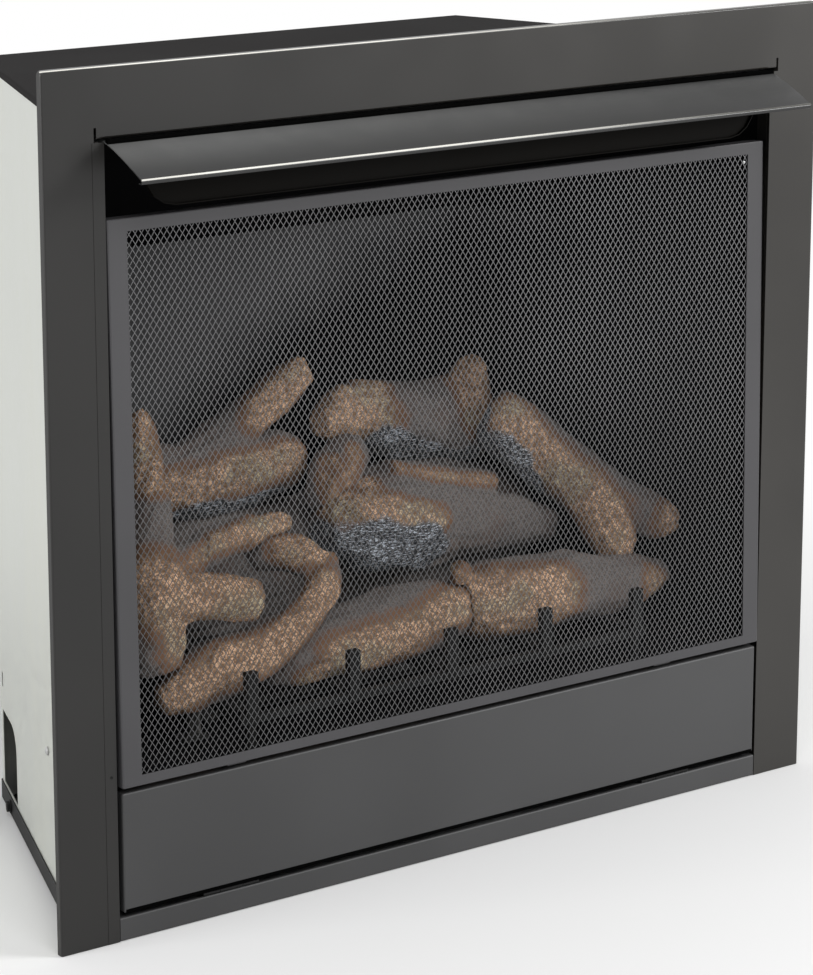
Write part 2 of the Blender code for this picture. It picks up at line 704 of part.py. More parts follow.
def build_face_frame():
    """Stiles and top rail: one sheet with a return all round and a relief slit in each inner corner."""
    half = FACE_WIDTH / 2
    corner = arc((half - CORNER_RADIUS, FACE_HEIGHT - CORNER_RADIUS), CORNER_RADIUS, 0, 90)
    slit_top = OPENING_TOP + SLIT_RISE
    right = [(STILE_INNER, 0, 0), (half, 0, 0)]
    right += [(x, 0, z) for x, z in corner]
    inner = [(STILE_INNER - SLIT_WIDTH, 0, OPENING_TOP), (STILE_INNER - SLIT_WIDTH, 0, slit_top),
             (STILE_INNER, 0, slit_top)]
    points = right + [(-x, y, z) for x, y, z in reversed(right)]
    points += [(-x, y, z) for x, y, z in reversed(inner)] + inner
    bm, edges = panel_surface(points)
    outer_count = len(right) * 2 - 1
    fold_edges(bm, edges[1:outer_count - 1], (0, FACE_RETURN, 0))
    fold_edges(bm, [edges[-1]], (0, STILE_RETURN, 0))
    fold_edges(bm, [edges[outer_count]], (0, STILE_RETURN, 0))
    fold_edges(bm, [edges[outer_count + 3]], (0, TOP_RAIL_RETURN, 0))
    return sheet_object("face_frame", bm, (0, -1, 0), FACE_BLACK)


def build_bottom_rail():
    """Channel between the stiles' feet, below the door."""
    points = [(-RAIL_HALF_WIDTH, y, z) for y, z in
              ((RAIL_DEPTH, 0), (0, 0), (0, RAIL_HEIGHT), (RAIL_DEPTH, RAIL_HEIGHT))]
    bm = profile_surface(points, (2 * RAIL_HALF_WIDTH, 0, 0))
    return sheet_object("bottom_rail", bm, (0, -1, 0), FACE_BLACK)


def build_hood():
    """Curved hood with a flat rear flange under the header and a hemmed lip."""
    steps = range(HOOD_CURVE_STEPS + 1)
    curve = [-HOOD_REACH * step / HOOD_CURVE_STEPS for step in steps]
    lip = hood_height(-HOOD_REACH) - HOOD_LIP
    section = [(HOOD_REAR_FLANGE, HOOD_LEVEL)] + [(y, hood_height(y)) for y in curve]
    section += [(-HOOD_REACH, lip), (-HOOD_REACH + HOOD_HEM, lip)]
    points = [(-HOOD_HALF_WIDTH, y, z) for y, z in section]
    bm = profile_surface(points, (2 * HOOD_HALF_WIDTH, 0, 0))
    return sheet_object("hood", bm, (0, 0, 1), FACE_BLACK, bend=BEND / 2)


def build_apron():
    """Deflector under the hood: rounded lower corners, rolled lower edge, flange along the hood's slope."""
    under = 2 * (SHEET + GAP)
    top = hood_height(-APRON_FORWARD) - under
    reach = -APRON_FORWARD - APRON_FLANGE
    corner = arc((APRON_HALF_WIDTH - APRON_RADIUS, APRON_LOWER_EDGE + APRON_RADIUS), APRON_RADIUS, -90, 0)
    right = [(x, z) for x, z in corner] + [(APRON_HALF_WIDTH, top)]
    points = [(x, -APRON_FORWARD, z) for x, z in right]
    points += [(-x, -APRON_FORWARD, z) for x, z in reversed(right)]
    bm, edges = panel_surface(points)
    count = len(right)
    rolled = edges[:count - 2] + edges[count + 1:]
    fold_edges(bm, rolled, (0, -APRON_ROLL, 0))
    fold_edges(bm, [edges[count - 1]], (0, reach + APRON_FORWARD, hood_height(reach) - under - top))
    return sheet_object("hood_apron", bm, (0, -1, 0), DEEP_BLACK, bend=0)


def build_casing_side(side):
    """Tapered side panel with front and rear flanges, the gas line access hole and a small slot."""
    height = CASING_TOP - SHEET - GAP
    points = [(FRONT_HALF_WIDTH - SIDE_FLANGE, CASING_FRONT), (FRONT_HALF_WIDTH, CASING_FRONT),
              (REAR_HALF_WIDTH, CASING_DEPTH), (REAR_HALF_WIDTH - REAR_FLANGE, CASING_DEPTH)]
    bm = profile_surface([(side * x, y, SHEET_FOOT) for x, y in points], (0, 0, height - SHEET_FOOT))
    panel = sheet_object(side_name("casing_side", side), bm, (side, 0, 0), GALVANISED)
    rear = CASING_DEPTH - ACCESS_MARGIN
    front = rear - ACCESS_LENGTH
    top = ACCESS_SILL + ACCESS_HEIGHT
    outline = [(rear, ACCESS_SILL), (rear, top)]
    outline += arc((front + ACCESS_RADIUS, top - ACCESS_RADIUS), ACCESS_RADIUS, 90, 180)
    outline += [(front, ACCESS_SILL)]
    low, high = sorted((side * (REAR_HALF_WIDTH - OVERRUN), side * (casing_half(front) + OVERRUN)))
    hole = extruded_outline("access_cutter", outline, "X", low, high, None)
    slot = add_box("slot_cutter", (low, rear - SLOT_LENGTH, SLOT_SILL),
                   (high, rear, SLOT_SILL + SLOT_HEIGHT))
    return cut(panel, hole, slot)


def build_casing_back():
    """Flat back panel over the side panels' rear flanges."""
    half = casing_half(REAR_FACE)
    return add_box("casing_back", (-half, CASING_DEPTH + GAP, SHEET_FOOT),
                   (half, BACK_FACE, CASING_TOP - SHEET - GAP), GALVANISED)


def casing_lid(name, front, level, fold, front_half, front_fold, outward, material):
    """Tapered tray over or under the casing: flanges outside the sides and back, one inside the front."""
    lap = (GAP + SHEET) / cos(TAPER)
    front_corner = casing_half(front) + lap
    rear_corner = casing_half(REAR_FACE) + lap
    plan = [(-front_half, front), (front_half, front), (front_corner, front), (rear_corner, REAR_FACE),
            (-rear_corner, REAR_FACE), (-front_corner, front)]
    points = [(x, y, level) for x, y in plan]
    bm, edges = panel_surface(points)
    fold_edges(bm, edges[2:5], (0, 0, fold))
    fold_edges(bm, edges[:1], (0, 0, front_fold))
    return sheet_object(name, bm, outward, material)


def build_casing_top():
    """Black top panel."""
    inner = FRONT_HALF_WIDTH - SIDE_FLANGE - GAP
    return casing_lid("casing_top", CASING_FRONT + SHEET, CASING_TOP, -TOP_FLANGE, inner, -TOP_FRONT_FLANGE,
                      (0, 0, 1), DEEP_BLACK)


def build_base_pan():
    """Base tray that the insert stands on, with low flanges outside the casing."""
    inner = JAMB_HALF_OPENING - GAP
    return casing_lid("base_pan", PAN_FRONT, 0, PAN_FLANGE, inner, PAN_FLANGE - GAP, (0, 0, -1), DEEP_BLACK)


def build_jamb(side):
    """Jamb beside the screen: leaning front lip, web, rear flange to the casing, and a screen stop."""
    outer = casing_half(JAMB_DEPTH + SHEET) - (SHEET + GAP) / cos(TAPER)
    web = JAMB_HALF_OPENING + JAMB_LIP
    points = [(JAMB_HALF_OPENING, 0), (web, 0), (web, JAMB_DEPTH), (outer, JAMB_DEPTH)]
    height = HEADER_LEVEL - GAP
    bm = profile_surface([(side * x, y, SHEET_FOOT) for x, y in points], (0, 0, height - SHEET_FOOT))
    for vert in bm.verts:
        if vert.co.z > height / 2 and vert.co.y < JAMB_DEPTH / 2:
            vert.co.y += JAMB_LEAN
    jamb = sheet_object(side_name("jamb", side), bm, (0, -1, 0), DEEP_BLACK, bend=0)
    rear = screen_point(0, SCREEN_DEPTH, STOP_LEVEL + STOP_HEIGHT - SCREEN_LEVEL)[1] + GAP
    low, high = sorted((side * (web - SHEET / 2), side * (web - STOP_WIDTH)))
    tab = add_box("stop_tab", (low, rear, STOP_LEVEL), (high, rear + SHEET, STOP_LEVEL + STOP_HEIGHT))
    return joined(jamb, tab)


def build_header():
    """Channel across the top of the opening, under the casing top."""
    front = HEADER_SETBACK
    top = CASING_TOP - SHEET - GAP
    section = ((front + HEADER_TOP_FLANGE, top), (front, top), (front, HEADER_LEVEL),
               (front + HEADER_LOWER_FLANGE, HEADER_LEVEL))
    bm = profile_surface([(-HEADER_HALF_WIDTH, y, z) for y, z in section], (2 * HEADER_HALF_WIDTH, 0, 0))
    return sheet_object("header", bm, (0, -1, 0), DEEP_BLACK, bend=0)


def build_hearth_floor():
    """Floor of the firebox, carried by the casing sides, with holes for the two gas tubes."""
    inset = (SHEET + GAP) / cos(TAPER)
    behind = JAMB_DEPTH + SHEET + GAP
    rear = CASING_DEPTH - SHEET - GAP
    inner = JAMB_HALF_OPENING - GAP
    right = [(inner, HEARTH_SETBACK), (inner, behind), (casing_half(behind) - inset, behind),
             (casing_half(rear) - inset, rear)]
    points = [(x, y, HEARTH_LEVEL) for x, y in mirrored(right)]
    bm, edges = panel_surface(points)
    fold_edges(bm, edges[-1:], (0, 0, -HEARTH_LIP))
    floor = sheet_object("hearth_floor", bm, (0, 0, 1), DEEP_BLACK)
    below, above = HEARTH_LEVEL - OVERRUN, HEARTH_LEVEL + OVERRUN
    feed = (-FEED_OFFSET, BURNER_CENTRE)
    pilot = (-PILOT_OFFSET, PILOT_SETBACK)
    holes = [add_rod("feed_hole", (*feed, below), (*feed, above), PIPE_RADIUS + SHEET),
             add_rod("pilot_hole", (*pilot, below), (*pilot, above), PILOT_TUBE_RADIUS + SHEET)]
    return cut(floor, *holes)


def build_liner_side(side):
    """Tapered side wall of the firebox."""
    front = JAMB_DEPTH + SHEET + GAP
    points = [(LINER_FRONT_HALF_WIDTH + LINER_FLANGE, front), (LINER_FRONT_HALF_WIDTH, front),
              (LINER_REAR_HALF_WIDTH, LINER_DEPTH), (LINER_REAR_HALF_WIDTH - LINER_FLANGE, LINER_DEPTH)]
    foot = HEARTH_LEVEL + GAP
    bm = profile_surface([(side * x, y, foot) for x, y in points], (0, 0, HEADER_LEVEL - GAP - foot))
    return sheet_object(side_name("liner_side", side), bm, (-side, 0, 0), LINER_GREY, bend=0)


def build_liner_back():
    """Rear wall of the firebox, in front of the side walls' flanges."""
    half = liner_half(LINER_DEPTH) - GAP
    return add_box("liner_back", (-half, LINER_DEPTH - GAP - SHEET, HEARTH_LEVEL + GAP),
                   (half, LINER_DEPTH - GAP, LINER_BACK_TOP), LINER_GREY)


def build_smoke_baffle():
    """Sloping top of the firebox, from the rear wall up to the header."""
    rear = LINER_DEPTH - 2 * (SHEET + GAP)
    front = HEADER_SETBACK + SHEET + GAP
    bend = front + BAFFLE_FRONT_FLANGE
    top = HEADER_LEVEL + 2 * SHEET + GAP
    section = ((rear, BAFFLE_REAR_LEVEL + BAFFLE_REAR_FLANGE), (rear, BAFFLE_REAR_LEVEL), (bend, top),
               (front, top))
    bm = bmesh.new()
    rows = []
    for y, z in section:
        half = liner_half(max(y, JAMB_DEPTH)) - GAP * 2
        rows.append([bm.verts.new((-half, y, z)), bm.verts.new((half, y, z))])
    for lower, upper in zip(rows, rows[1:]):
        bm.faces.new((lower[0], lower[1], upper[1], upper[0]))
    return sheet_object("smoke_baffle", bm, (0, 0, 1), DEEP_BLACK, bend=0, thickness=SHEET)


SCREEN_TILT = atan2(SCREEN_LEAN, SCREEN_HEIGHT)
SCREEN_AXIS = new_empty("screen_slide_axis", (0, -SCREEN_FORWARD, SCREEN_LEVEL), ROOT)


def screen_point(x, y, z):
    """Root-frame place of a point of the leaning screen: y behind its front, z above its lower edge."""
    return (x, -SCREEN_FORWARD + y * cos(SCREEN_TILT) + z * sin(SCREEN_TILT),
            SCREEN_LEVEL - y * sin(SCREEN_TILT) + z * cos(SCREEN_TILT))


def lean_on_screen(obj):
    """Lean a piece modelled upright against z = 0 into the screen's plane."""
    obj.parent = SCREEN_AXIS
    obj.matrix_parent_inverse = Matrix.Identity(4)
    obj.rotation_euler = (-SCREEN_TILT, 0, 0)
    return obj


def build_screen_frame():
    """Frame of the screen: flat bars with a return behind, and two feet on the hearth."""
    outer = [(-SCREEN_HALF_WIDTH, 0), (SCREEN_HALF_WIDTH, 0), (SCREEN_HALF_WIDTH, SCREEN_HEIGHT),
             (-SCREEN_HALF_WIDTH, SCREEN_HEIGHT)]
    opening = SCREEN_HALF_WIDTH - SCREEN_SIDE_BAR
    top = SCREEN_HEIGHT - SCREEN_TOP_BAR
    inner = [(-opening, SCREEN_BOTTOM_BAR), (opening, SCREEN_BOTTOM_BAR), (opening, top), (-opening, top)]
    bm = bmesh.new()
    loops = []
    for outline in (outer, inner):
        verts = [bm.verts.new((x, 0, z)) for x, z in outline]
        loops.append([bm.edges.new((verts[i - 1], verts[i])) for i in range(len(verts))])
    bmesh.ops.bridge_loops(bm, edges=loops[0] + loops[1])
    fold_edges(bm, loops[0], (0, SCREEN_DEPTH, 0))
    frame = sheet_object("screen_frame", bm, (0, -1, 0), SCREEN_BLACK)
    for side in (-1, 1):
        middle = side * (SCREEN_HALF_WIDTH - FOOT_INSET)
        foot = add_box("foot", (middle - FOOT_WIDTH / 2, FOOT_SETBACK, -FOOT_DROP),
                       (middle + FOOT_WIDTH / 2, FOOT_SETBACK + FOOT_DEPTH, SHEET / 2))
        joined(frame, foot)
    return lean_on_screen(frame)


def build_screen_mesh():
    """Expanded-metal net, cut out of a sheet with diamond gaps and clamped behind the screen's bars."""
    width = 2 * (SCREEN_HALF_WIDTH - SCREEN_SIDE_BAR)
    height = SCREEN_HEIGHT - SCREEN_TOP_BAR - SCREEN_BOTTOM_BAR
    across, up = width / (2 * NET_COLUMNS), height / (2 * NET_ROWS)
    slant = sqrt(across ** 2 + up ** 2)
    half_gap = across - NET_STRAND * slant / (2 * up), up - NET_STRAND * slant / (2 * across)
    plate_low = (-width / 2 - NET_RIM, SHEET + GAP, SCREEN_BOTTOM_BAR - NET_RIM)
    plate_high = (width / 2 + NET_RIM, 2 * SHEET + GAP, SCREEN_BOTTOM_BAR + height + NET_RIM)
    outline = [(plate_low[0], plate_low[2]), (plate_high[0], plate_low[2]), (plate_high[0], plate_high[2]),
               (plate_low[0], plate_high[2])]
    gaps = []
    for i in range(2 * NET_COLUMNS + 1):
        for j in range(2 * NET_ROWS + 1):
            if (i + j) % 2 == 0:
                continue
            centre = (i * across - width / 2, SCREEN_BOTTOM_BAR + j * up)
            gaps.append(diamond(centre, half_gap, width / 2, SCREEN_BOTTOM_BAR, SCREEN_BOTTOM_BAR + height))
    net = flat_plate("screen_mesh", outline, gaps, plate_low[1], plate_high[1], MESH_GREY)
    return lean_on_screen(net)


def diamond(centre, half, limit_x, low_z, high_z):
    """Return a diamond outline, halved where its centre lies on the net's border."""
    x, z = centre
    tiny = limit_x / 1e4
    points = []
    if x < limit_x - tiny:
        points.append((x + half[0], z))
    if z < high_z - tiny:
        points.append((x, z + half[1]))
    if x > -limit_x + tiny:
        points.append((x - half[0], z))
    if z > low_z + tiny:
        points.append((x, z - half[1]))
    return points


def flat_plate(name, outline, holes, front, rear, material):
    """Return a plate in the XZ plane with holes, from a filled curve with an extrude."""
    curve = bpy.data.curves.new(name, "CURVE")
    curve.dimensions = "2D"
    curve.fill_mode = "BOTH"
    curve.extrude = (rear - front) / 2
    for points in [outline] + holes:
        spline = curve.splines.new("POLY")
        spline.points.add(len(points[1:]))
        for knot, (x, z) in zip(spline.points, points):
            knot.co = (x, z, 0, 1)
        spline.use_cyclic_u = True
    plate = curve_solid(name, curve, material)
    turn = Matrix.Translation((0, (front + rear) / 2, 0)) @ Matrix.Rotation(pi / 2, 4, "X")
    plate.data.transform(turn)
    plate.data.shade_flat()
    return plate


DOOR_AXIS = new_empty("door_hinge_axis", (0, HINGE_AXIS_SETBACK, HINGE_AXIS_LEVEL), ROOT)


def build_access_door():
    """Drop-down door: a shallow tray with its open side behind."""
    front = -DOOR_FORWARD
    points = [(-DOOR_HALF_WIDTH, front, DOOR_LOWER_EDGE), (DOOR_HALF_WIDTH, front, DOOR_LOWER_EDGE),
              (DOOR_HALF_WIDTH, front, DOOR_UPPER_EDGE), (-DOOR_HALF_WIDTH, front, DOOR_UPPER_EDGE)]
    bm, edges = panel_surface(points)
    fold_edges(bm, edges, (0, DOOR_DEPTH, 0))
    return sheet_object("access_door", bm, (0, -1, 0), DOOR_BLACK, DOOR_AXIS)


def build_hinge(side):
    """Butt hinge: the fixed leaf carries a pin, and the door's leaf turns on it with two knuckles."""
    middle = side * (DOOR_HALF_WIDTH - HINGE_INSET)
    axis_y, axis_z = HINGE_AXIS_SETBACK, HINGE_AXIS_LEVEL
    half, centre = HINGE_LENGTH / 2, HINGE_CENTRE_LENGTH / 2
    leaf_rear = axis_y + LEAF_DEPTH
    fixed = add_box(side_name("hinge_fixed_leaf", side), (middle - half, axis_y, RAIL_HEIGHT + GAP),
                    (middle + half, leaf_rear, RAIL_HEIGHT + GAP + SHEET), STEEL)
    for low, high in ((-half, -centre - KNUCKLE_GAP), (centre + KNUCKLE_GAP, half)):
        room = KNUCKLE_RADIUS + PIN_CLEARANCE
        notch = add_rod("knuckle_notch", (middle + low - KNUCKLE_GAP, axis_y, axis_z),
                        (middle + high + KNUCKLE_GAP, axis_y, axis_z), room, steps=SMALL_ROUND_STEPS)
        cut(fixed, notch)
    knuckle = add_rod("fixed_knuckle", (middle - centre, axis_y, axis_z), (middle + centre, axis_y, axis_z),
                      KNUCKLE_RADIUS, steps=SMALL_ROUND_STEPS)
    pin = add_rod("pin", (middle - half, axis_y, axis_z), (middle + half, axis_y, axis_z), PIN_RADIUS,
                  steps=SMALL_ROUND_STEPS)
    joined(fixed, knuckle, pin)
    leaf_top = DOOR_LOWER_EDGE - GAP
    moving = add_box(side_name("hinge_door_leaf", side), (middle - half, axis_y, leaf_top - SHEET),
                     (middle + half, leaf_rear, leaf_top), STEEL, DOOR_AXIS)
    for low, high in ((-half, -centre - KNUCKLE_GAP), (centre + KNUCKLE_GAP, half)):
        turned = add_rod("door_knuckle", (middle + low, axis_y, axis_z), (middle + high, axis_y, axis_z),
                         KNUCKLE_RADIUS, steps=SMALL_ROUND_STEPS)
        joined(moving, turned)
    clear = KNUCKLE_RADIUS + PIN_CLEARANCE
    room = add_rod("centre_room", (middle - centre - KNUCKLE_GAP, axis_y, axis_z),
                   (middle + centre + KNUCKLE_GAP, axis_y, axis_z), clear, steps=SMALL_ROUND_STEPS)
    reach = half + OVERRUN
    bore = add_rod("pin_bore", (middle - reach, axis_y, axis_z), (middle + reach, axis_y, axis_z),
                   PIN_RADIUS + PIN_CLEARANCE, steps=SMALL_ROUND_STEPS)
    return fixed, cut(moving, room, bore)


def build_door_catch():
    """Magnetic catch under the hearth: its face meets the door's inner skin."""
    front = -DOOR_FORWARD + SHEET + GAP
    arm = HEARTH_SETBACK + SHEET + 2 * GAP
    top = CATCH_LEVEL + CATCH_HEIGHT
    outline = [(front, CATCH_LEVEL), (CATCH_DEPTH, CATCH_LEVEL), (CATCH_DEPTH, HEARTH_LEVEL - SHEET - GAP),
               (arm, HEARTH_LEVEL - SHEET - GAP), (arm, top), (front, top)]
    return extruded_outline("door_catch", outline, "X", -CATCH_WIDTH / 2, CATCH_WIDTH / 2, KNOB_BLACK)


def build_control_plate():
    """Upright plate behind the door that carries the valve and the igniter."""
    section = [(PLATE_SETBACK + PLATE_FOOT, SHEET_FOOT), (PLATE_SETBACK, SHEET_FOOT),
               (PLATE_SETBACK, PLATE_HEIGHT)]
    bm = profile_surface([(-PLATE_LEFT, y, z) for y, z in section], (PLATE_LEFT - PLATE_RIGHT, 0, 0))
    plate = sheet_object("control_plate", bm, (0, -1, 0), GALVANISED)
    holes = []
    for offset, radius in ((VALVE_OFFSET, STEM_RADIUS), (IGNITER_OFFSET, IGNITER_BARREL_RADIUS)):
        holes.append(add_rod("plate_hole", (-offset, PLATE_SETBACK - OVERRUN, CONTROL_LEVEL),
                             (-offset, PLATE_SETBACK + OVERRUN, CONTROL_LEVEL), radius + GAP))
    return cut(plate, *holes)


def build_gas_valve():
    """Die-cast valve body with a domed servo cover and the stem that takes the knob."""
    front = PLATE_SETBACK + SHEET + GAP
    body = add_box("gas_valve", (-VALVE_OFFSET - VALVE_WIDTH / 2, front, CONTROL_LEVEL - VALVE_HEIGHT / 2),
                   (-VALVE_OFFSET + VALVE_WIDTH / 2, front + VALVE_DEPTH, CONTROL_LEVEL + VALVE_HEIGHT / 2),
                   VALVE_METAL)
    bevel = body.modifiers.new("edges", "BEVEL")
    bevel.width = VALVE_BEVEL
    bevel.segments = 2
    baked(body)
    top = CONTROL_LEVEL + VALVE_HEIGHT / 2
    middle = front + VALVE_DEPTH / 2
    dome = add_rod("dome", (-VALVE_OFFSET, middle, top - VALVE_BEVEL),
                   (-VALVE_OFFSET, middle, top + VALVE_DOME_HEIGHT), VALVE_DOME_RADIUS)
    stem = add_rod("stem", (-VALVE_OFFSET, front + VALVE_BEVEL, CONTROL_LEVEL),
                   (-VALVE_OFFSET, PLATE_SETBACK - STEM_LENGTH, CONTROL_LEVEL), STEM_RADIUS)
    return joined(body, dome, stem)


def build_control_knob():
    """Turned knob with a blind bore over the stem and a raised pointer on its front."""
    back = PLATE_SETBACK - KNOB_FLOAT
    bore = STEM_RADIUS + GAP
    depth = STEM_LENGTH - KNOB_FLOAT + GAP
    profile = [(0, KNOB_HEIGHT), (KNOB_GRIP_RADIUS, KNOB_HEIGHT), (KNOB_GRIP_RADIUS, KNOB_SKIRT),
               (KNOB_RADIUS, KNOB_SKIRT / 2), (KNOB_RADIUS, 0), (bore, 0), (bore, depth), (0, depth)]
    knob = turned_object("control_knob", profile, (-VALVE_OFFSET, back, CONTROL_LEVEL), (0, -1, 0),
                         KNOB_BLACK)
    pointer = add_box("pointer", (-KNOB_POINTER_WIDTH / 2, -KNOB_HEIGHT - KNOB_POINTER_HEIGHT, 0),
                      (KNOB_POINTER_WIDTH / 2, KNOB_POINTER_HEIGHT - KNOB_HEIGHT,
                       KNOB_GRIP_RADIUS - KNOB_POINTER_WIDTH / 2))
    pointer.location = knob.location
    return joined(knob, pointer)


def build_igniter():
    """Push-button igniter: barrel through the plate with a bezel, and a sliding button in its bore."""
    front = PLATE_SETBACK - GAP
    bore = BUTTON_RADIUS + GAP
    face = IGNITER_BEZEL_HEIGHT
    depth = BUTTON_LENGTH - BUTTON_PROUD + BUTTON_TRAVEL + GAP
    profile = [(0, face - depth), (bore, face - depth), (bore, face), (IGNITER_BEZEL_RADIUS, face),
               (IGNITER_BEZEL_RADIUS, 0), (IGNITER_BARREL_RADIUS, 0),
               (IGNITER_BARREL_RADIUS, -IGNITER_BARREL_LENGTH), (0, -IGNITER_BARREL_LENGTH)]
    body = turned_object("igniter_body", profile, (-IGNITER_OFFSET, front, CONTROL_LEVEL), (0, -1, 0),
                         KNOB_BLACK)
    start = front - face - BUTTON_PROUD
    button = add_rod("igniter_button", (0, 0, 0), (0, BUTTON_LENGTH, 0), BUTTON_RADIUS, BUTTON_RED)
    button.location = (-IGNITER_OFFSET, start, CONTROL_LEVEL)
    return body, button


def inlet_offset():
    """Distance of the gas inlet left of the middle."""
    return casing_half(INLET_SETBACK) - INLET_SIDE_CLEARANCE


def build_gas_line():
    """Inlet fitting on its bracket, regulator, valve supply and burner feed."""
    across = -inlet_offset()
    face = INLET_SETBACK
    section = [(face - INLET_BRACKET_FOOT, SHEET_FOOT), (face, SHEET_FOOT), (face, INLET_BRACKET_HEIGHT)]
    low = across - INLET_BRACKET_WIDTH / 2
    bm = profile_surface([(low, y, z) for y, z in section], (INLET_BRACKET_WIDTH, 0, 0))
    bracket = sheet_object("inlet_bracket", bm, (0, 1, 0), GALVANISED)
    cut(bracket, add_rod("inlet_hole", (across, face - OVERRUN, PIPE_LEVEL),
                         (across, face + OVERRUN, PIPE_LEVEL), INLET_NIPPLE_RADIUS + GAP))
    hex_front = face + GAP
    hex_rear = hex_front + INLET_HEX_LENGTH
    fitting = add_rod("inlet_fitting", (across, hex_front, PIPE_LEVEL), (across, hex_rear, PIPE_LEVEL),
                      INLET_HEX_RADIUS, BRASS, steps=HEX_STEPS)
    nipple_front = face - SHEET - INLET_NIPPLE_LENGTH / 2
    nipple_rear = hex_rear + INLET_NIPPLE_LENGTH / 2
    joined(fitting, add_rod("nipple", (across, nipple_front, PIPE_LEVEL), (across, nipple_rear, PIPE_LEVEL),
                            INLET_NIPPLE_RADIUS))
    rear = REGULATOR_SETBACK + REGULATOR_RADIUS + GAP
    tube_object("inlet_pipe", [(across, nipple_front - GAP, PIPE_LEVEL),
                               (across, nipple_front - PIPE_STRAIGHT, PIPE_LEVEL),
                               (-REGULATOR_OFFSET, rear + PIPE_STRAIGHT, PIPE_LEVEL),
                               (-REGULATOR_OFFSET, rear, PIPE_LEVEL)], PIPE_RADIUS, PIPE_BEND, ALUMINISED)
    build_regulator()
    valve_rear = PLATE_SETBACK + SHEET + 2 * GAP + VALVE_DEPTH
    start = REGULATOR_SETBACK - REGULATOR_RADIUS - GAP
    outlet = -VALVE_OFFSET - VALVE_WIDTH / 4
    tube_object("supply_pipe", [(-REGULATOR_OFFSET, start, PIPE_LEVEL),
                                (-REGULATOR_OFFSET, start - PIPE_STRAIGHT, PIPE_LEVEL),
                                (outlet, start - PIPE_STRAIGHT, PIPE_LEVEL),
                                (outlet, valve_rear, PIPE_LEVEL)], PIPE_RADIUS, PIPE_BEND, ALUMINISED)


def build_regulator():
    """Pressure regulator: two turned caps with a waist, standing on the base pan."""
    waist, radius = REGULATOR_WAIST_RADIUS, REGULATOR_RADIUS
    low = SHEET_FOOT
    centre = PIPE_LEVEL
    half = REGULATOR_HEIGHT / 2
    profile = [(0, centre + half), (waist, centre + half), (radius, centre + half / 2),
               (radius, centre - half / 2), (waist, centre - half), (waist, low), (0, low)]
    foot = (-REGULATOR_OFFSET, REGULATOR_SETBACK, 0)
    return turned_object("pressure_regulator", profile, foot, (0, 0, 1), VALVE_METAL)


def build_burner():
    """Two burner tubes in cradles, the manifold between them, its feed pipe and the pilot."""
    half = BURNER_HALF_LENGTH
    for name, setback in (("burner_front", BURNER_FRONT_SETBACK), ("burner_rear", BURNER_REAR_SETBACK)):
        add_rod(name, (-half, setback, BURNER_LEVEL), (half, setback, BURNER_LEVEL), BURNER_RADIUS,
                ALUMINISED, steps=BURNER_STEPS)
    add_rod("burner_manifold", (-FEED_OFFSET, BURNER_FRONT_SETBACK - BURNER_RADIUS, BURNER_LEVEL),
            (-FEED_OFFSET, BURNER_REAR_SETBACK + BURNER_RADIUS, BURNER_LEVEL), MANIFOLD_RADIUS, ALUMINISED,
            steps=BURNER_STEPS)
    for side in (-1, 1):
        build_cradle(side)
    top = BURNER_LEVEL - MANIFOLD_RADIUS - GAP
    level = CONTROL_LEVEL + VALVE_HEIGHT / 4
    valve_side = -VALVE_OFFSET - VALVE_WIDTH / 2 - GAP
    valve_middle = PLATE_SETBACK + SHEET + GAP + VALVE_DEPTH / 2
    tube_object("burner_feed_pipe", [(valve_side, valve_middle, level), (-FEED_OFFSET, valve_middle, level),
                                     (-FEED_OFFSET, valve_middle, top - PIPE_STRAIGHT),
                                     (-FEED_OFFSET, BURNER_CENTRE, top - PIPE_STRAIGHT),
                                     (-FEED_OFFSET, BURNER_CENTRE, top)],
                PIPE_RADIUS, PIPE_BEND, ALUMINISED)
    build_pilot()


def build_cradle(side):
    """Upright plate across the hearth with a round seat for each burner tube."""
    middle = side * (BURNER_HALF_LENGTH - CRADLE_INSET)
    left, right = middle - CRADLE_SHEET / 2, middle + CRADLE_SHEET / 2
    cradle = add_box(side_name("burner_cradle", side),
                     (left, BURNER_FRONT_SETBACK - CRADLE_MARGIN, HEARTH_LEVEL + GAP),
                     (right, BURNER_REAR_SETBACK + CRADLE_MARGIN, BURNER_LEVEL), GALVANISED)
    for setback in (BURNER_FRONT_SETBACK, BURNER_REAR_SETBACK):
        cut(cradle, add_rod("seat", (left - OVERRUN, setback, BURNER_LEVEL),
                            (right + OVERRUN, setback, BURNER_LEVEL), BURNER_RADIUS + GAP, steps=BURNER_STEPS))
    return cradle


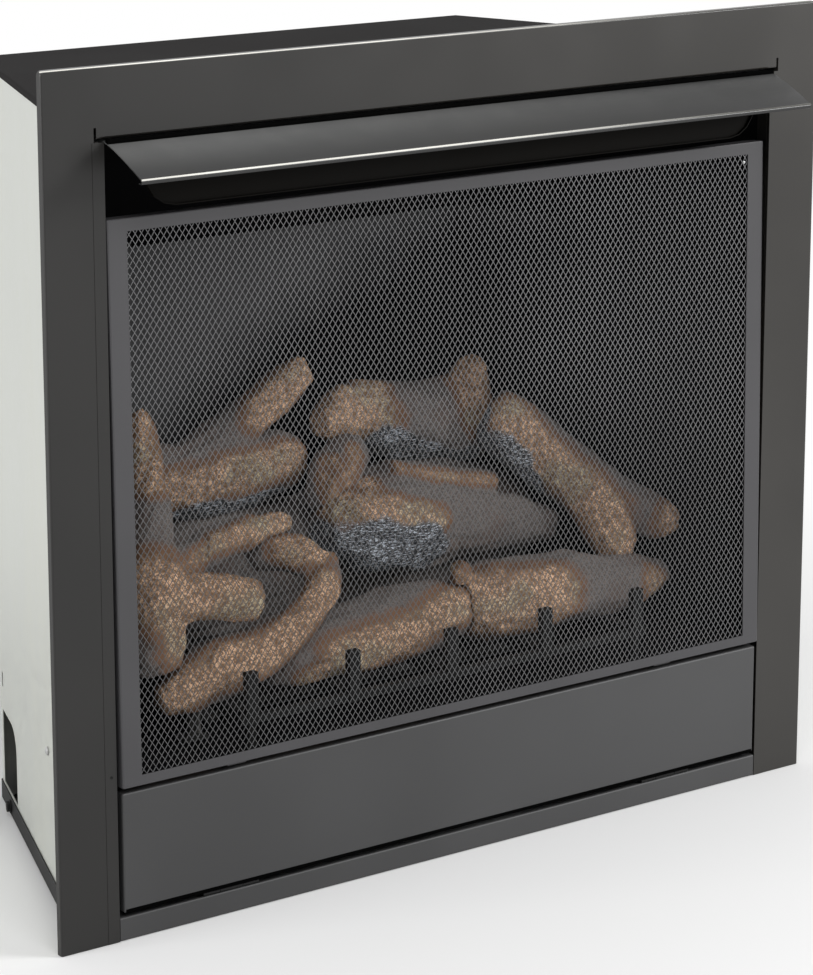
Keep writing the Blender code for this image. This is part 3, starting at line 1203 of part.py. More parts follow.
def build_pilot():
    """Pilot hood on its bracket, the ceramic electrode beside it and the tube that feeds it."""
    base = HEARTH_LEVEL + GAP
    top = base + PILOT_BASE_HEIGHT
    half, depth = PILOT_BASE_WIDTH / 2, PILOT_BASE_DEPTH / 2
    pilot = add_box("pilot_assembly", (-PILOT_OFFSET - half, PILOT_SETBACK - depth, base),
                    (-PILOT_OFFSET + half, PILOT_SETBACK + depth, top), STEEL)
    joined(pilot, add_rod("pilot_hood", (-PILOT_OFFSET, PILOT_SETBACK, base + PILOT_BASE_HEIGHT / 2),
                          (-PILOT_OFFSET, PILOT_SETBACK, base + PILOT_HOOD_HEIGHT), PILOT_HOOD_RADIUS,
                          steps=SMALL_ROUND_STEPS))
    beside = -PILOT_OFFSET + ELECTRODE_OFFSET
    add_rod("pilot_electrode", (beside, PILOT_SETBACK, top + GAP),
            (beside, PILOT_SETBACK, top + ELECTRODE_HEIGHT), ELECTRODE_RADIUS, CERAMIC,
            steps=SMALL_ROUND_STEPS)
    valve_side = -VALVE_OFFSET - VALVE_WIDTH / 2 - GAP
    start_y = PLATE_SETBACK + SHEET + GAP + VALVE_DEPTH / 4
    level = CONTROL_LEVEL
    tube_object("pilot_tube", [(valve_side, start_y, level), (-PILOT_OFFSET, start_y, level),
                               (-PILOT_OFFSET, PILOT_SETBACK, level + PILOT_SETBACK - start_y),
                               (-PILOT_OFFSET, PILOT_SETBACK, base - GAP)],
                PILOT_TUBE_RADIUS, PILOT_BEND, BRASS, resolution=1)


def build_grate():
    """Log grate: bars with upturned prongs, front and rear cross bars and four legs, as one weldment."""
    low = GRATE_TOP - GRATE_BAR_HEIGHT
    prong_rear = GRATE_FRONT + GRATE_PRONG_DEPTH
    side_view = [(GRATE_FRONT, low), (GRATE_REAR, low), (GRATE_REAR, GRATE_TOP), (prong_rear, GRATE_TOP),
                 (prong_rear, GRATE_PRONG_TOP), (GRATE_FRONT, GRATE_PRONG_TOP)]
    bars = []
    for index in range(GRATE_BARS):
        middle = GRATE_OFFSET + (index - (GRATE_BARS - 1) / 2) * GRATE_PITCH
        left, right = middle - GRATE_BAR_WIDTH / 2, middle + GRATE_BAR_WIDTH / 2
        bars.append(extruded_outline("grate" if index == 0 else "grate_bar", side_view, "X", left, right,
                                     CAST_BLACK))
    half = GRATE_PITCH * (GRATE_BARS - 1) / 2 + GRATE_BAR_WIDTH
    weld = GRATE_WELD
    rails = []
    for front in (GRATE_FRONT + weld, GRATE_CROSS_SETBACK):
        rails.append(add_box("cross_bar", (GRATE_OFFSET - half, front, low + weld),
                             (GRATE_OFFSET + half, front + GRATE_PRONG_DEPTH - 2 * weld, GRATE_TOP - weld)))
    legs = []
    for side in (-1, 1):
        middle = GRATE_OFFSET + side * GRATE_PITCH * (GRATE_BARS - 1) / 2
        leg_half = GRATE_LEG_WIDTH / 2
        for front in (GRATE_FRONT + 2 * weld, GRATE_CROSS_SETBACK + weld):
            legs.append(add_box("leg", (middle - leg_half, front, HEARTH_LEVEL + GAP),
                                (middle + leg_half, front + GRATE_PRONG_DEPTH - 4 * weld, low + 2 * weld)))
    return joined(bars[0], *rails, *bars[1:], *legs)


def log_point(shares):
    """Root-frame place of a log point given in shares."""
    across, back, up = shares[:3]
    return across * PILE_SPREAD, PILE_FRONT + back * PILE_REACH, GRATE_TOP + up * PILE_RISE


def bark_profile():
    """Closed irregular outline that the limbs are swept with, of unit radius."""
    curve = bpy.data.curves.new("bark_profile", "CURVE")
    curve.dimensions = "2D"
    spline = curve.splines.new("POLY")
    spline.points.add(len(BARK_SHARES[1:]))
    for index, (knot, share) in enumerate(zip(spline.points, BARK_SHARES)):
        turn = 2 * pi * index / len(BARK_SHARES)
        knot.co = (share * cos(turn), share * sin(turn), 0, 1)
    spline.use_cyclic_u = True
    profile = bpy.data.objects.new("bark_profile", curve)
    CUTTERS.objects.link(profile)
    return hide_cutter(profile)


def build_limb(name, points, profile, material):
    """Sweep the bark outline along a limb, thickened by each point's girth."""
    curve = bpy.data.curves.new(name, "CURVE")
    curve.dimensions = "3D"
    curve.bevel_mode = "OBJECT"
    curve.bevel_object = profile
    curve.resolution_u = 2
    curve.use_fill_caps = True
    spline = curve.splines.new("BEZIER")
    spline.bezier_points.add(len(points[1:]))
    for index, (knot, shares) in enumerate(zip(spline.bezier_points, points)):
        knot.co = log_point(shares)
        knot.radius = shares[3] * LIMB_RADIUS
        knot.tilt = BARK_TWIST * index
        knot.handle_left_type = "AUTO"
        knot.handle_right_type = "AUTO"
    limb = curve_solid(name, curve, material)
    bm = bmesh.new()
    bm.from_mesh(limb.data)
    bmesh.ops.triangulate(bm, faces=bm.faces[:])
    bm.to_mesh(limb.data)
    bm.free()
    return limb


def swollen(limb):
    """Return a cutter: a copy of a limb, swollen by the seat's clearance."""
    copy = bpy.data.objects.new(limb.name + "_seat", limb.data.copy())
    PARTS.objects.link(copy)
    place(copy, ROOT)
    swell = copy.modifiers.new("swell", "DISPLACE")
    swell.strength = SEAT_GAP
    swell.mid_level = 0.0
    return baked(copy)


def build_logs():
    """Refractory logs: limbs fused into each log, flat seats on the grate and notches on other logs."""
    profile = bark_profile()
    seats = {}
    for name, shares in LOG_SHARES.items():
        limbs = [build_limb(name if limb is shares[0] else "limb", limb, profile, LOG_CLAY)
                 for limb in shares]
        seats[name] = [swollen(limb) for limb in limbs]
        log = joined(limbs[0], *limbs[1:])
        reach = PILE_SPREAD * 2
        cut(log, add_box("grate_plane", (-reach, -OVERRUN, 0), (reach, CASING_DEPTH, GRATE_TOP + GAP)))
        for other in LOG_SEATS[name]:
            cut(log, *seats[other])
    for seat in (copy for copies in seats.values() for copy in copies):
        if seat.name in PARTS.objects:
            PARTS.objects.unlink(seat)
            CUTTERS.objects.link(hide_cutter(seat))


def build_fasteners():
    """Screw and bolt heads that show on each side of the casing."""
    for side in (-1, 1):
        outward = Vector((side * cos(TAPER), sin(TAPER), 0))
        skin = Vector((side * casing_half(SIDE_SCREW_SETBACK), SIDE_SCREW_SETBACK, SIDE_SCREW_LEVEL))
        start = skin + outward * GAP
        add_rod(side_name("side_screw", side), start, start + outward * SCREW_HEIGHT, SCREW_RADIUS, STEEL,
                steps=SMALL_ROUND_STEPS)
        lap = (GAP + SHEET) / cos(TAPER)
        setback = CASING_DEPTH - BASE_BOLT_INSET
        skin = Vector((side * (casing_half(setback) + lap), setback, BASE_BOLT_LEVEL))
        start = skin + outward * GAP
        add_rod(side_name("base_bolt", side), start, start + outward * BOLT_HEIGHT, BOLT_RADIUS, DEEP_BLACK,
                steps=HEX_STEPS)


def build_insert():
    """Build every sub-part."""
    build_face_frame()
    build_bottom_rail()
    build_hood()
    build_apron()
    build_casing_back()
    build_casing_top()
    build_base_pan()
    build_header()
    for side in (-1, 1):
        build_casing_side(side)
        build_jamb(side)
        build_liner_side(side)
        build_hinge(side)
    build_hearth_floor()
    build_liner_back()
    build_smoke_baffle()
    build_screen_frame()
    build_screen_mesh()
    build_access_door()
    build_door_catch()
    build_control_plate()
    build_gas_valve()
    build_control_knob()
    build_igniter()
    build_gas_line()
    build_burner()
    build_grate()
    build_logs()
    build_fasteners()


build_insert()
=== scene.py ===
"""Looks of a vent-free gas fireplace insert: coats, net, logs, fasteners, floor, lights and camera.

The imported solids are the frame. Each class dresses one sub-assembly: it gives the solids their finish
and puts detailed pieces in place of the plain ones.
"""

from __future__ import annotations

import logging
import math
from collections.abc import Callable, Iterable, Sequence
from dataclasses import dataclass, field
from enum import Enum

import bmesh
import bpy
import numpy as np
from mathutils import Matrix, Vector, noise

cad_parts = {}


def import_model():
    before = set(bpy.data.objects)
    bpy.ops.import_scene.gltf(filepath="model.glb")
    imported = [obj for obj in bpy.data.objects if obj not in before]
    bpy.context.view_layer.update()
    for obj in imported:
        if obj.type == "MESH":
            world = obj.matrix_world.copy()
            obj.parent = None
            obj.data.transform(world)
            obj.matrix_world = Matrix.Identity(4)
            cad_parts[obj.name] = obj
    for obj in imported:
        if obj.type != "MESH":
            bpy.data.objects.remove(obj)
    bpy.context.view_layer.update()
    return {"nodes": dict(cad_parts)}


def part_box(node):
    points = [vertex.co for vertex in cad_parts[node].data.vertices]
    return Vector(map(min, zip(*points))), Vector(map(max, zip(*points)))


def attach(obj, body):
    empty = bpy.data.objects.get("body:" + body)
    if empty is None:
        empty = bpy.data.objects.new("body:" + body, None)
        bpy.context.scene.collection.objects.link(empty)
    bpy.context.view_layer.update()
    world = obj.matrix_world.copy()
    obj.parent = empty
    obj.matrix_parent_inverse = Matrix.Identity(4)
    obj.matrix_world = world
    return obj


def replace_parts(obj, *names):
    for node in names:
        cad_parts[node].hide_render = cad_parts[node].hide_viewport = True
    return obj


LOG = logging.getLogger("insert")
Colour = tuple[float, float, float]
Point = tuple[float, float, float]
Socket, Material, Mesh, Piece = bpy.types.NodeSocket, bpy.types.Material, bpy.types.Mesh, bpy.types.Object

FACE_Y = -0.1643
TUBE_SIDES = 10


class Body(str, Enum):
    """The rigid bodies that pieces ride on."""

    CHASSIS = "chassis"
    SCREEN = "screen"
    DOOR = "door"
    KNOB = "knob"


def local(x: float, y: float, z: float) -> Point:
    """Return the world place of a point given from the face plane."""
    return (x, y + FACE_Y, z)


class Tree:
    """A thin builder round a node tree."""

    def __init__(self, tree: bpy.types.NodeTree) -> None:
        """Wrap a shader or geometry node tree."""
        self.tree = tree

    def feed(self, node: bpy.types.Node, **inputs: object) -> bpy.types.Node:
        """Set or link a node's inputs.

        Args:
            node: the node.
            inputs: values or sockets for inputs, by name with underscores for spaces, or _0, _1 for an index.

        Returns:
            The node.
        """
        for key, value in inputs.items():
            socket = node.inputs[int(key[1:])] if key[0] == "_" else node.inputs[key.replace("_", " ")]
            if isinstance(value, Socket):
                self.tree.links.new(value, socket)
            else:
                socket.default_value = value
        return node

    def node(self, kind: str, settings: dict | None = None, **inputs: object) -> bpy.types.Node:
        """Add a node.

        Args:
            kind: the node's type name.
            settings: attributes of the node to set.
            inputs: values or sockets for inputs, named as feed() takes them.

        Returns:
            The new node.
        """
        node = self.tree.nodes.new(kind)
        for key, value in (settings or {}).items():
            setattr(node, key, value)
        return self.feed(node, **inputs)

    def math(self, operation: str, first: object, second: object, clamp: bool = False) -> Socket:
        """Return the result of a Math node, held between 0 and 1 if clamp is set."""
        settings = {"operation": operation, "use_clamp": clamp}
        return self.node("ShaderNodeMath", settings, _0=first, _1=second).outputs[0]

    def plus(self, first: object, second: object, clamp: bool = False) -> Socket:
        """Return the sum of two values, held between 0 and 1 if clamp is set."""
        return self.math("ADD", first, second, clamp)

    def times(self, first: object, second: object) -> Socket:
        """Return the product of two values."""
        return self.math("MULTIPLY", first, second)

    def ramp(self, value: object, low: float, high: float, start: float = 0.0, end: float = 1.0) -> Socket:
        """Return a smooth step of a value, from start where it is low to end where it is high."""
        return self.node("ShaderNodeMapRange", {"interpolation_type": "SMOOTHSTEP"}, Value=value, _1=low, _2=high,
                         _3=start, _4=end).outputs[0]

    def mix(self, factor: object, first: object, second: object, blend: str = "MIX") -> Socket:
        """Return a mix of two colours, the first where the factor is 0 and the second where it is 1."""
        pair = [part if isinstance(part, Socket) else (*part, 1.0) for part in (first, second)]
        return self.node("ShaderNodeMix", {"data_type": "RGBA", "blend_type": blend}, _0=factor, _6=pair[0],
                         _7=pair[1]).outputs[2]

    def noise(self, vector: object, scale: object, detail: float = 3.0, roughness: float = 0.55,
              output: int = 0) -> Socket:
        """Return a noise of a scale per metre: its value, or its colour as output 1."""
        return self.node("ShaderNodeTexNoise", Vector=vector, Scale=scale, Detail=detail,
                         Roughness=roughness).outputs[output]

    def stretched(self, vector: object, scale: Point) -> Socket:
        """Return coordinates scaled along each axis."""
        return self.node("ShaderNodeMapping", Vector=vector, Scale=scale).outputs[0]

    def place(self) -> Socket:
        """Return the object's own coordinates."""
        return self.node("ShaderNodeTexCoord").outputs["Object"]

    def parts(self, vector: object) -> bpy.types.NodeOutputs:
        """Return the X, Y and Z of a vector."""
        return self.node("ShaderNodeSeparateXYZ", _0=vector).outputs

    def vector(self, **parts: object) -> Socket:
        """Return a vector with the given X, Y or Z and 0 for the rest."""
        return self.node("ShaderNodeCombineXYZ", **parts).outputs[0]

    def moved(self, geometry: object, **parts: object) -> Socket:
        """Return a geometry moved by the given X, Y or Z."""
        return self.node("GeometryNodeSetPosition", Geometry=geometry, Offset=self.vector(**parts)).outputs[0]

    def copies(self, points: object, piece: object, turn: object, material: object) -> Socket:
        """Return real copies of a piece on points, turned and with a material.

        Args:
            points: where the copies go.
            piece: the geometry to copy.
            turn: the rotation of each copy.
            material: their material.

        Returns:
            The output geometry socket.
        """
        placed = self.node("GeometryNodeInstanceOnPoints", Points=points, Instance=piece, Rotation=turn)
        solid = self.node("GeometryNodeRealizeInstances", Geometry=placed.outputs[0])
        return self.node("GeometryNodeSetMaterial", Geometry=solid.outputs[0], Material=material).outputs[0]


def shader_group(name: str, inputs: dict[str, float], outputs: Iterable[str], fill: Callable) -> bpy.types.NodeTree:
    """Build a shader node group once.

    Args:
        name: the group's name.
        inputs: its number inputs and their defaults.
        outputs: its number outputs.
        fill: called with the Tree, the inputs by name and the object coordinates; returns the outputs in order.

    Returns:
        The group.
    """
    group = bpy.data.node_groups.new(name, "ShaderNodeTree")
    for key, value in inputs.items():
        group.interface.new_socket(key, in_out="INPUT", socket_type="NodeSocketFloat").default_value = value
    for key in outputs:
        group.interface.new_socket(key, in_out="OUTPUT", socket_type="NodeSocketFloat")
    tree = Tree(group)
    entry = group.nodes.new("NodeGroupInput")
    leave = group.nodes.new("NodeGroupOutput")
    for index, socket in enumerate(fill(tree, entry.outputs, tree.place())):
        group.links.new(socket, leave.inputs[index])
    return group


def fill_coat_grain(tree: Tree, given: bpy.types.NodeOutputs, place: Socket) -> tuple[Socket, ...]:
    """Lay out the grain of a sprayed coat: the height of fine orange peel, and broad cloudiness."""
    height = tree.plus(tree.noise(place, given["Scale"], 2.0, 0.5), tree.times(tree.noise(place, 2600.0, 1.0), 0.4))
    return height, tree.ramp(tree.noise(place, 5.0, 2.0), 0.3, 0.7)


def fill_dust(tree: Tree, given: bpy.types.NodeOutputs, place: Socket) -> tuple[Socket, ...]:
    """Lay out the mask of dust that settles in patches on what faces up."""
    flat = tree.ramp(tree.parts(tree.node("ShaderNodeNewGeometry").outputs["Normal"])[2], 0.55, 0.95)
    return (tree.times(tree.times(flat, tree.ramp(tree.noise(place, 35.0, 4.0), 0.35, 0.75)), given["Amount"]),)


class Groups:
    """The shader effects that several finishes share."""

    def __init__(self) -> None:
        """Build the groups."""
        self.trees = {"grain": shader_group("coat_grain", {"Scale": 700.0}, ("Height", "Cloud"), fill_coat_grain),
                      "dust": shader_group("settled_dust", {"Amount": 0.2}, ("Mask",), fill_dust)}

    def add(self, tree: Tree, key: str, **inputs: float) -> bpy.types.NodeOutputs:
        """Place a group in a material's tree and return its outputs."""
        return tree.node("ShaderNodeGroup", {"node_tree": self.trees[key]}, **inputs).outputs


def new_material(name: str, colour: Colour) -> tuple[Material, Tree, bpy.types.Node]:
    """Start a node material.

    Args:
        name: the material's name.
        colour: its plain colour in the viewport.

    Returns:
        The material, its tree and its Principled shader.
    """
    material = bpy.data.materials.new(name)
    material.use_nodes = True
    material.diffuse_color = (*colour, 1.0)
    return material, Tree(material.node_tree), material.node_tree.nodes["Principled BSDF"]


def bump(tree: Tree, shader: bpy.types.Node, height: Socket, strength: float, distance: float) -> None:
    """Feed a height, whose distance is in metres, into a shader's normal."""
    node = tree.node("ShaderNodeBump", Height=height, Strength=strength, Distance=distance)
    tree.feed(shader, Normal=node.outputs[0])


# painted shading: light and shade painted into a coat's colour along one axis
PaintedShading = tuple[int, float, float, float, float]
DUST_COLOUR = (0.32, 0.31, 0.29)
COAT_BUMP = 0.6


@dataclass(frozen=True)
class Coat:
    """A sprayed or plain finish: colour, gloss, grain and dust, with painted light and shade that changes along an
    axis.

    A painted shading is an axis, two places along it, and what the colour is multiplied by at each.
    """

    name: str
    colour: Colour
    roughness: float = 0.45
    metallic: float = 0.0
    cloud: float = 0.10
    grain: float = 700.0
    relief: float = 0.00004
    dust: float = 0.15
    specular: float = 0.5
    gloss_swing: float = 0.04
    dust_haze: float = 0.3
    painted_shading: tuple[PaintedShading, ...] = ()

    def make(self, groups: Groups) -> Material:
        """Build the material.

        Args:
            groups: the shared shader effects.

        Returns:
            The material.
        """
        material, tree, shader = new_material(self.name, self.colour)
        grain = groups.add(tree, "grain", Scale=self.grain)
        dust = groups.add(tree, "dust", Amount=self.dust)["Mask"]
        light = tuple(min(1.0, part * (1 + self.cloud)) for part in self.colour)
        dark = tuple(part * (1 - self.cloud) for part in self.colour)
        colour = tree.mix(dust, tree.mix(grain["Cloud"], dark, light), DUST_COLOUR)
        parts = tree.parts(tree.place())
        # painted light and shade: multiply the colour along each painted shading axis
        for axis, low, high, first, last in self.painted_shading:
            colour = tree.mix(1.0, colour, tree.ramp(parts[axis], low, high, first, last), "MULTIPLY")
        glossy, dull = self.roughness - self.gloss_swing, self.roughness + self.gloss_swing
        rough = tree.ramp(grain["Cloud"], 0.0, 1.0, glossy, dull)
        tree.feed(shader, Base_Color=colour, Roughness=tree.plus(rough, tree.times(dust, self.dust_haze), clamp=True),
                  Metallic=self.metallic, Specular_IOR_Level=self.specular)
        bump(tree, shader, grain["Height"], COAT_BUMP, self.relief)
        return material


@dataclass(frozen=True)
class Galvanised:
    """Zinc-coated sheet: pale spangle, faint vertical streaks, a few yellowish stains and a painted yellowish glow
    near the face.
    """

    name: str
    colour: Colour = (0.605, 0.622, 0.578)
    streak: Colour = (0.55, 0.56, 0.53)
    stain: Colour = (0.66, 0.64, 0.50)
    painted_glow: Colour = (0.74, 0.72, 0.54)
    roughness: float = 0.40
    metallic: float = 0.55
    spangle: float = 130.0
    warp: float = 0.02
    streak_share: float = 0.18
    stain_share: float = 0.10
    painted_glow_depth: tuple[float, float] = (FACE_Y + 0.004, FACE_Y + 0.020)
    relief: float = 0.00004

    def make(self, groups: Groups) -> Material:
        """Build the material.

        Args:
            groups: the shared shader effects.

        Returns:
            The material.
        """
        material, tree, shader = new_material(self.name, self.colour)
        place = tree.place()
        warp = tree.noise(place, 60.0, 2.0, 0.5, output=1)
        bent = tree.node("ShaderNodeMix", {"data_type": "VECTOR"}, _0=self.warp, _4=place, _5=warp).outputs[1]
        cells = tree.node("ShaderNodeTexVoronoi", Vector=bent, Scale=self.spangle)
        tint = tree.node("ShaderNodeSeparateColor", _0=cells.outputs["Color"]).outputs[0]
        streak = tree.ramp(tree.noise(tree.stretched(place, (1.0, 1.0, 0.04)), 22.0), 0.35, 0.65)
        stain = tree.ramp(tree.noise(tree.stretched(place, (1.0, 1.0, 0.25)), 7.0), 0.52, 0.72)
        pale = tuple(min(1.0, part * 1.03) for part in self.colour)
        colour = tree.mix(tint, tuple(part * 0.95 for part in self.colour), pale)
        colour = tree.mix(tree.times(streak, self.streak_share), colour, self.streak)
        colour = tree.mix(tree.times(stain, self.stain_share), colour, self.stain)
        # painted light: the sheet turns to a lighter yellowish glow near the face
        near = tree.ramp(tree.parts(place)[1], *self.painted_glow_depth, 0.8, 0.0)
        tree.feed(shader, Base_Color=tree.mix(near, colour, self.painted_glow), Metallic=self.metallic,
                  Roughness=tree.plus(tree.times(tint, 0.14), self.roughness - 0.07))
        bump(tree, shader, tree.plus(groups.add(tree, "grain", Scale=260.0)["Height"], tint), 0.25, self.relief)
        return material


@dataclass(frozen=True)
class FiredClay:
    """Airbrushed refractory log: smoke-grey all over, bare clay in strokes, char underneath with pale flecks of ash
    and painted glints, and painted shade in its cracks.
    """

    name: str
    pale: Colour = (0.80, 0.53, 0.345)
    tan: Colour = (0.165, 0.092, 0.049)
    rust: Colour = (0.165, 0.085, 0.048)
    umber: Colour = (0.115, 0.080, 0.066)
    smoke: Colour = (0.125, 0.108, 0.100)
    moss: Colour = (0.53, 0.465, 0.32)
    char: Colour = (0.018, 0.020, 0.024)
    ash_and_glint: Colour = (0.58, 0.63, 0.70)
    cleft: Colour = (0.030, 0.022, 0.017)
    soot_swing: tuple[float, float] = (0.65, 1.45)
    crack_shade_strength: float = 0.85
    relief: float = 0.0011

    def make(self, groups: Groups) -> Material:
        """Build the material.

        Args:
            groups: the shared shader effects.

        Returns:
            The material.
        """
        material, tree, shader = new_material(self.name, self.tan)
        place = tree.place()
        clay, char, crack = (tree.node("ShaderNodeAttribute", {"attribute_name": name}).outputs["Fac"]
                             for name in ("clay", "char", "crack"))
        broad = tree.noise(place, 26.0, 2.0)
        mottle = tree.noise(place, 150.0, 4.0, 0.68)
        fibre = tree.noise(place, 460.0, 3.0, 0.7)
        patch = tree.noise(place, 19.0, 2.0)
        wander = tree.plus(tree.ramp(broad, 0.3, 0.7, -0.15, 0.15), tree.ramp(mottle, 0.3, 0.7, -0.07, 0.07))
        bare = tree.plus(clay, tree.times(wander, tree.ramp(clay, 0.02, 0.2)))
        dim, hazy = (tuple(part * share for part in self.smoke) for share in self.soot_swing)
        sooty = tree.mix(tree.ramp(fibre, 0.35, 0.65), dim, hazy)
        sooty = tree.mix(tree.times(tree.ramp(broad, 0.45, 0.65), 0.6), sooty, self.umber)
        colour = tree.mix(tree.ramp(bare, 0.05, 0.45), sooty, self.rust)
        colour = tree.mix(tree.ramp(bare, 0.25, 0.80), colour, self.tan)
        bright = tree.mix(tree.ramp(patch, 0.50, 0.68), self.pale, self.moss)
        grit = tree.times(tree.ramp(fibre, 0.41, 0.60, 0.04, 1.0), tree.ramp(mottle, 0.38, 0.60, 0.2, 1.0))
        colour = tree.mix(tree.times(tree.ramp(bare, 0.50, 0.95), grit), colour, bright)
        pit = tree.times(tree.ramp(mottle, 0.42, 0.32), tree.ramp(bare, 0.2, 0.5, 0.0, 0.35))
        colour = tree.mix(pit, colour, self.rust)
        # pale bluish flecks in the char: ash colour and painted glints
        streaks = tree.noise(tree.stretched(place, (0.45, 1.0, 1.6)), 430.0, 2.0, 0.7)
        burnt = tree.mix(tree.ramp(streaks, 0.505, 0.605), self.char, self.ash_and_glint)
        burn = tree.ramp(tree.plus(char, wander), 0.30, 0.55)
        # painted shade: the cracks are darkened toward the cleft colour
        colour = tree.mix(tree.times(crack, self.crack_shade_strength), tree.mix(burn, colour, burnt), self.cleft)
        tree.feed(shader, Base_Color=colour, Roughness=tree.ramp(burn, 0.0, 1.0, 0.88, 0.45))
        coarse = tree.times(tree.noise(place, 620.0, 3.0, 0.7), tree.ramp(burn, 0.0, 1.0, 0.45, 1.6))
        bump(tree, shader, tree.plus(coarse, tree.times(mottle, 0.8)), 0.9, self.relief)
        return material


@dataclass(frozen=True)
class HeatPaint:
    """Heat-proof paint of the firebox: deep black, with a painted pool of light that makes it greyer high up on the
    left of the back, below the baffle.
    """

    name: str
    black: Colour = (0.0045, 0.0045, 0.005)
    painted_light_grey: Colour = (0.105, 0.105, 0.107)
    baffle_level: float = 0.551
    edge: float = 0.001
    roughness: float = 0.8
    specular: float = 0.03
    relief: float = 0.00004

    def make(self, groups: Groups) -> Material:
        """Build the material.

        Args:
            groups: the shared shader effects.

        Returns:
            The material.
        """
        material, tree, shader = new_material(self.name, self.black)
        place = tree.place()
        parts = tree.parts(place)
        cloud = tree.ramp(tree.noise(place, 9.0), 0.3, 0.7, -0.03, 0.03)
        across = tree.plus(tree.math("SUBTRACT", parts[0], tree.times(parts[2], 1.9)), cloud)
        below = tree.ramp(parts[2], self.baffle_level + self.edge, self.baffle_level - self.edge)
        # painted light: a grey pool high on the left of the back wall, cut off at the baffle level
        painted_light_patch = tree.times(tree.ramp(across, -0.72, -0.90), below)
        tree.feed(shader, Base_Color=tree.mix(painted_light_patch, self.black, self.painted_light_grey), Roughness=self.roughness,
                  Specular_IOR_Level=self.specular)
        bump(tree, shader, groups.add(tree, "grain", Scale=700.0)["Height"], COAT_BUMP, self.relief)
        return material


@dataclass
class Finishes:
    """Every finish of the insert, built once."""

    groups: Groups = field(default_factory=Groups)

    def __post_init__(self) -> None:
        """Build the materials."""
        coats = {
            # painted light: the face darkens toward its left and lightens toward its right
            "face": Coat("satin_black_face", (0.0165, 0.0152, 0.0132), 0.34, relief=0.00002, dust=0.02, cloud=0.14,
                         painted_shading=((0, -0.42, 0.42, 0.43, 1.36),)),
            # painted highlight: the hood is lighter high up and darker toward its lip, and lighter at its left than
            # its right
            "hood": Coat("satin_black_hood", (0.045, 0.0455, 0.045), 0.34, relief=0.00002, dust=0.02,
                         painted_shading=((1, -0.224, -0.178, 0.20, 2.0), (0, -0.3, 0.3, 1.25, 0.62))),
            # painted light: the door lightens toward its right
            "door": Coat("satin_black_door", (0.040, 0.040, 0.041), 0.44, relief=0.00002, dust=0.03, cloud=0.08,
                         painted_shading=((0, -0.36, 0.36, 0.88, 1.18),)),
            "screen": Coat("satin_black_screen_frame", (0.043, 0.042, 0.045), 0.52, relief=0.00003, dust=0.03),
            "deep": Coat("matt_black_chassis", (0.006, 0.006, 0.006), 0.55, dust=0.02, specular=0.2),
            # painted shade: the apron under the hood is near black with almost no reflection
            "apron": Coat("shade_black_apron", (0.0024, 0.0019, 0.0012), 0.50, dust=0.0, specular=0.06),
            "jamb": Coat("satin_black_jamb", (0.018, 0.017, 0.015), 0.34, dust=0.02),
            # painted highlight: bright metal for the edge beads, fading toward the right, stands in for light caught
            # on the folded bends
            "edge": Coat("painted_highlight_edge", (0.92, 0.90, 0.84), 0.24, 1.0, relief=0.00001, dust=0.0,
                         painted_shading=((0, -0.10, 0.32, 1.0, 0.14),)),
            # painted shadow: pure black with no reflection, for strips laid where gaps fall in shade
            "seal": Coat("painted_shadow_black", (0.002, 0.002, 0.002), 0.95, relief=0.00001, dust=0.0, specular=0.0),
            # painted light: the strands get lighter toward the right; they also darken toward the bottom
            "net": Coat("grey_net_strands", (0.21, 0.21, 0.215), 0.45, 0.2, relief=0.00001, dust=0.0, specular=0.3,
                        painted_shading=((0, -0.35, 0.35, 0.85, 1.16), (2, 0.28, 0.52, 0.68, 1.0))),
            "roof": Coat("matt_black_roof", (0.022, 0.021, 0.021), 0.85, dust=0.0, specular=0.05),
            "grate": Coat("grate_black", (0.008, 0.008, 0.008), 0.60, dust=0.03, specular=0.15),
            "steel": Coat("plain_steel", (0.50, 0.50, 0.50), 0.34, 0.95, dust=0.05),
            "pilot": Coat("scorched_steel", (0.055, 0.053, 0.050), 0.50, 0.6, cloud=0.3, dust=0.05),
            "pipe": Coat("aluminised_steel", (0.46, 0.46, 0.47), 0.42, 0.85, cloud=0.18, dust=0.10),
            "burner": Coat("scorched_burner_steel", (0.020, 0.019, 0.018), 0.55, 0.5, cloud=0.35, dust=0.05),
            "brass": Coat("machined_brass", (0.62, 0.43, 0.19), 0.30, 0.95, dust=0.05),
            "valve": Coat("die_cast_alloy", (0.42, 0.43, 0.44), 0.50, 0.75, grain=1200.0, relief=0.00006),
            "plastic": Coat("black_moulding", (0.012, 0.012, 0.013), 0.36, dust=0.04),
            "mark": Coat("white_index_line", (0.75, 0.75, 0.73), 0.50, dust=0.02),
            "red": Coat("red_moulding", (0.42, 0.022, 0.014), 0.32, dust=0.02),
            "white": Coat("smoked_ceramic", (0.16, 0.155, 0.145), 0.35, dust=0.0),
        }
        self.coats = {key: coat.make(self.groups) for key, coat in coats.items()}
        self.coats["zinc"] = Galvanised("galvanised_sheet").make(self.groups)
        self.coats["liner"] = HeatPaint("firebox_paint").make(self.groups)
        self.coats["clay"] = FiredClay("refractory_log").make(self.groups)

    def __getitem__(self, key: str) -> Material:
        """Return a finish by its short name."""
        return self.coats[key]


def mesh_object(name: str, mesh: Mesh, material: Material | None = None) -> Piece:
    """Link a mesh as an object at the origin.

    Args:
        name: the object's name.
        mesh: its mesh.
        material: its material, or None to keep the mesh's own.

    Returns:
        The object.
    """
    if material is not None:
        mesh.materials.clear()
        mesh.materials.append(material)
    obj = bpy.data.objects.new(name, mesh)
    bpy.context.scene.collection.objects.link(obj)
    return obj


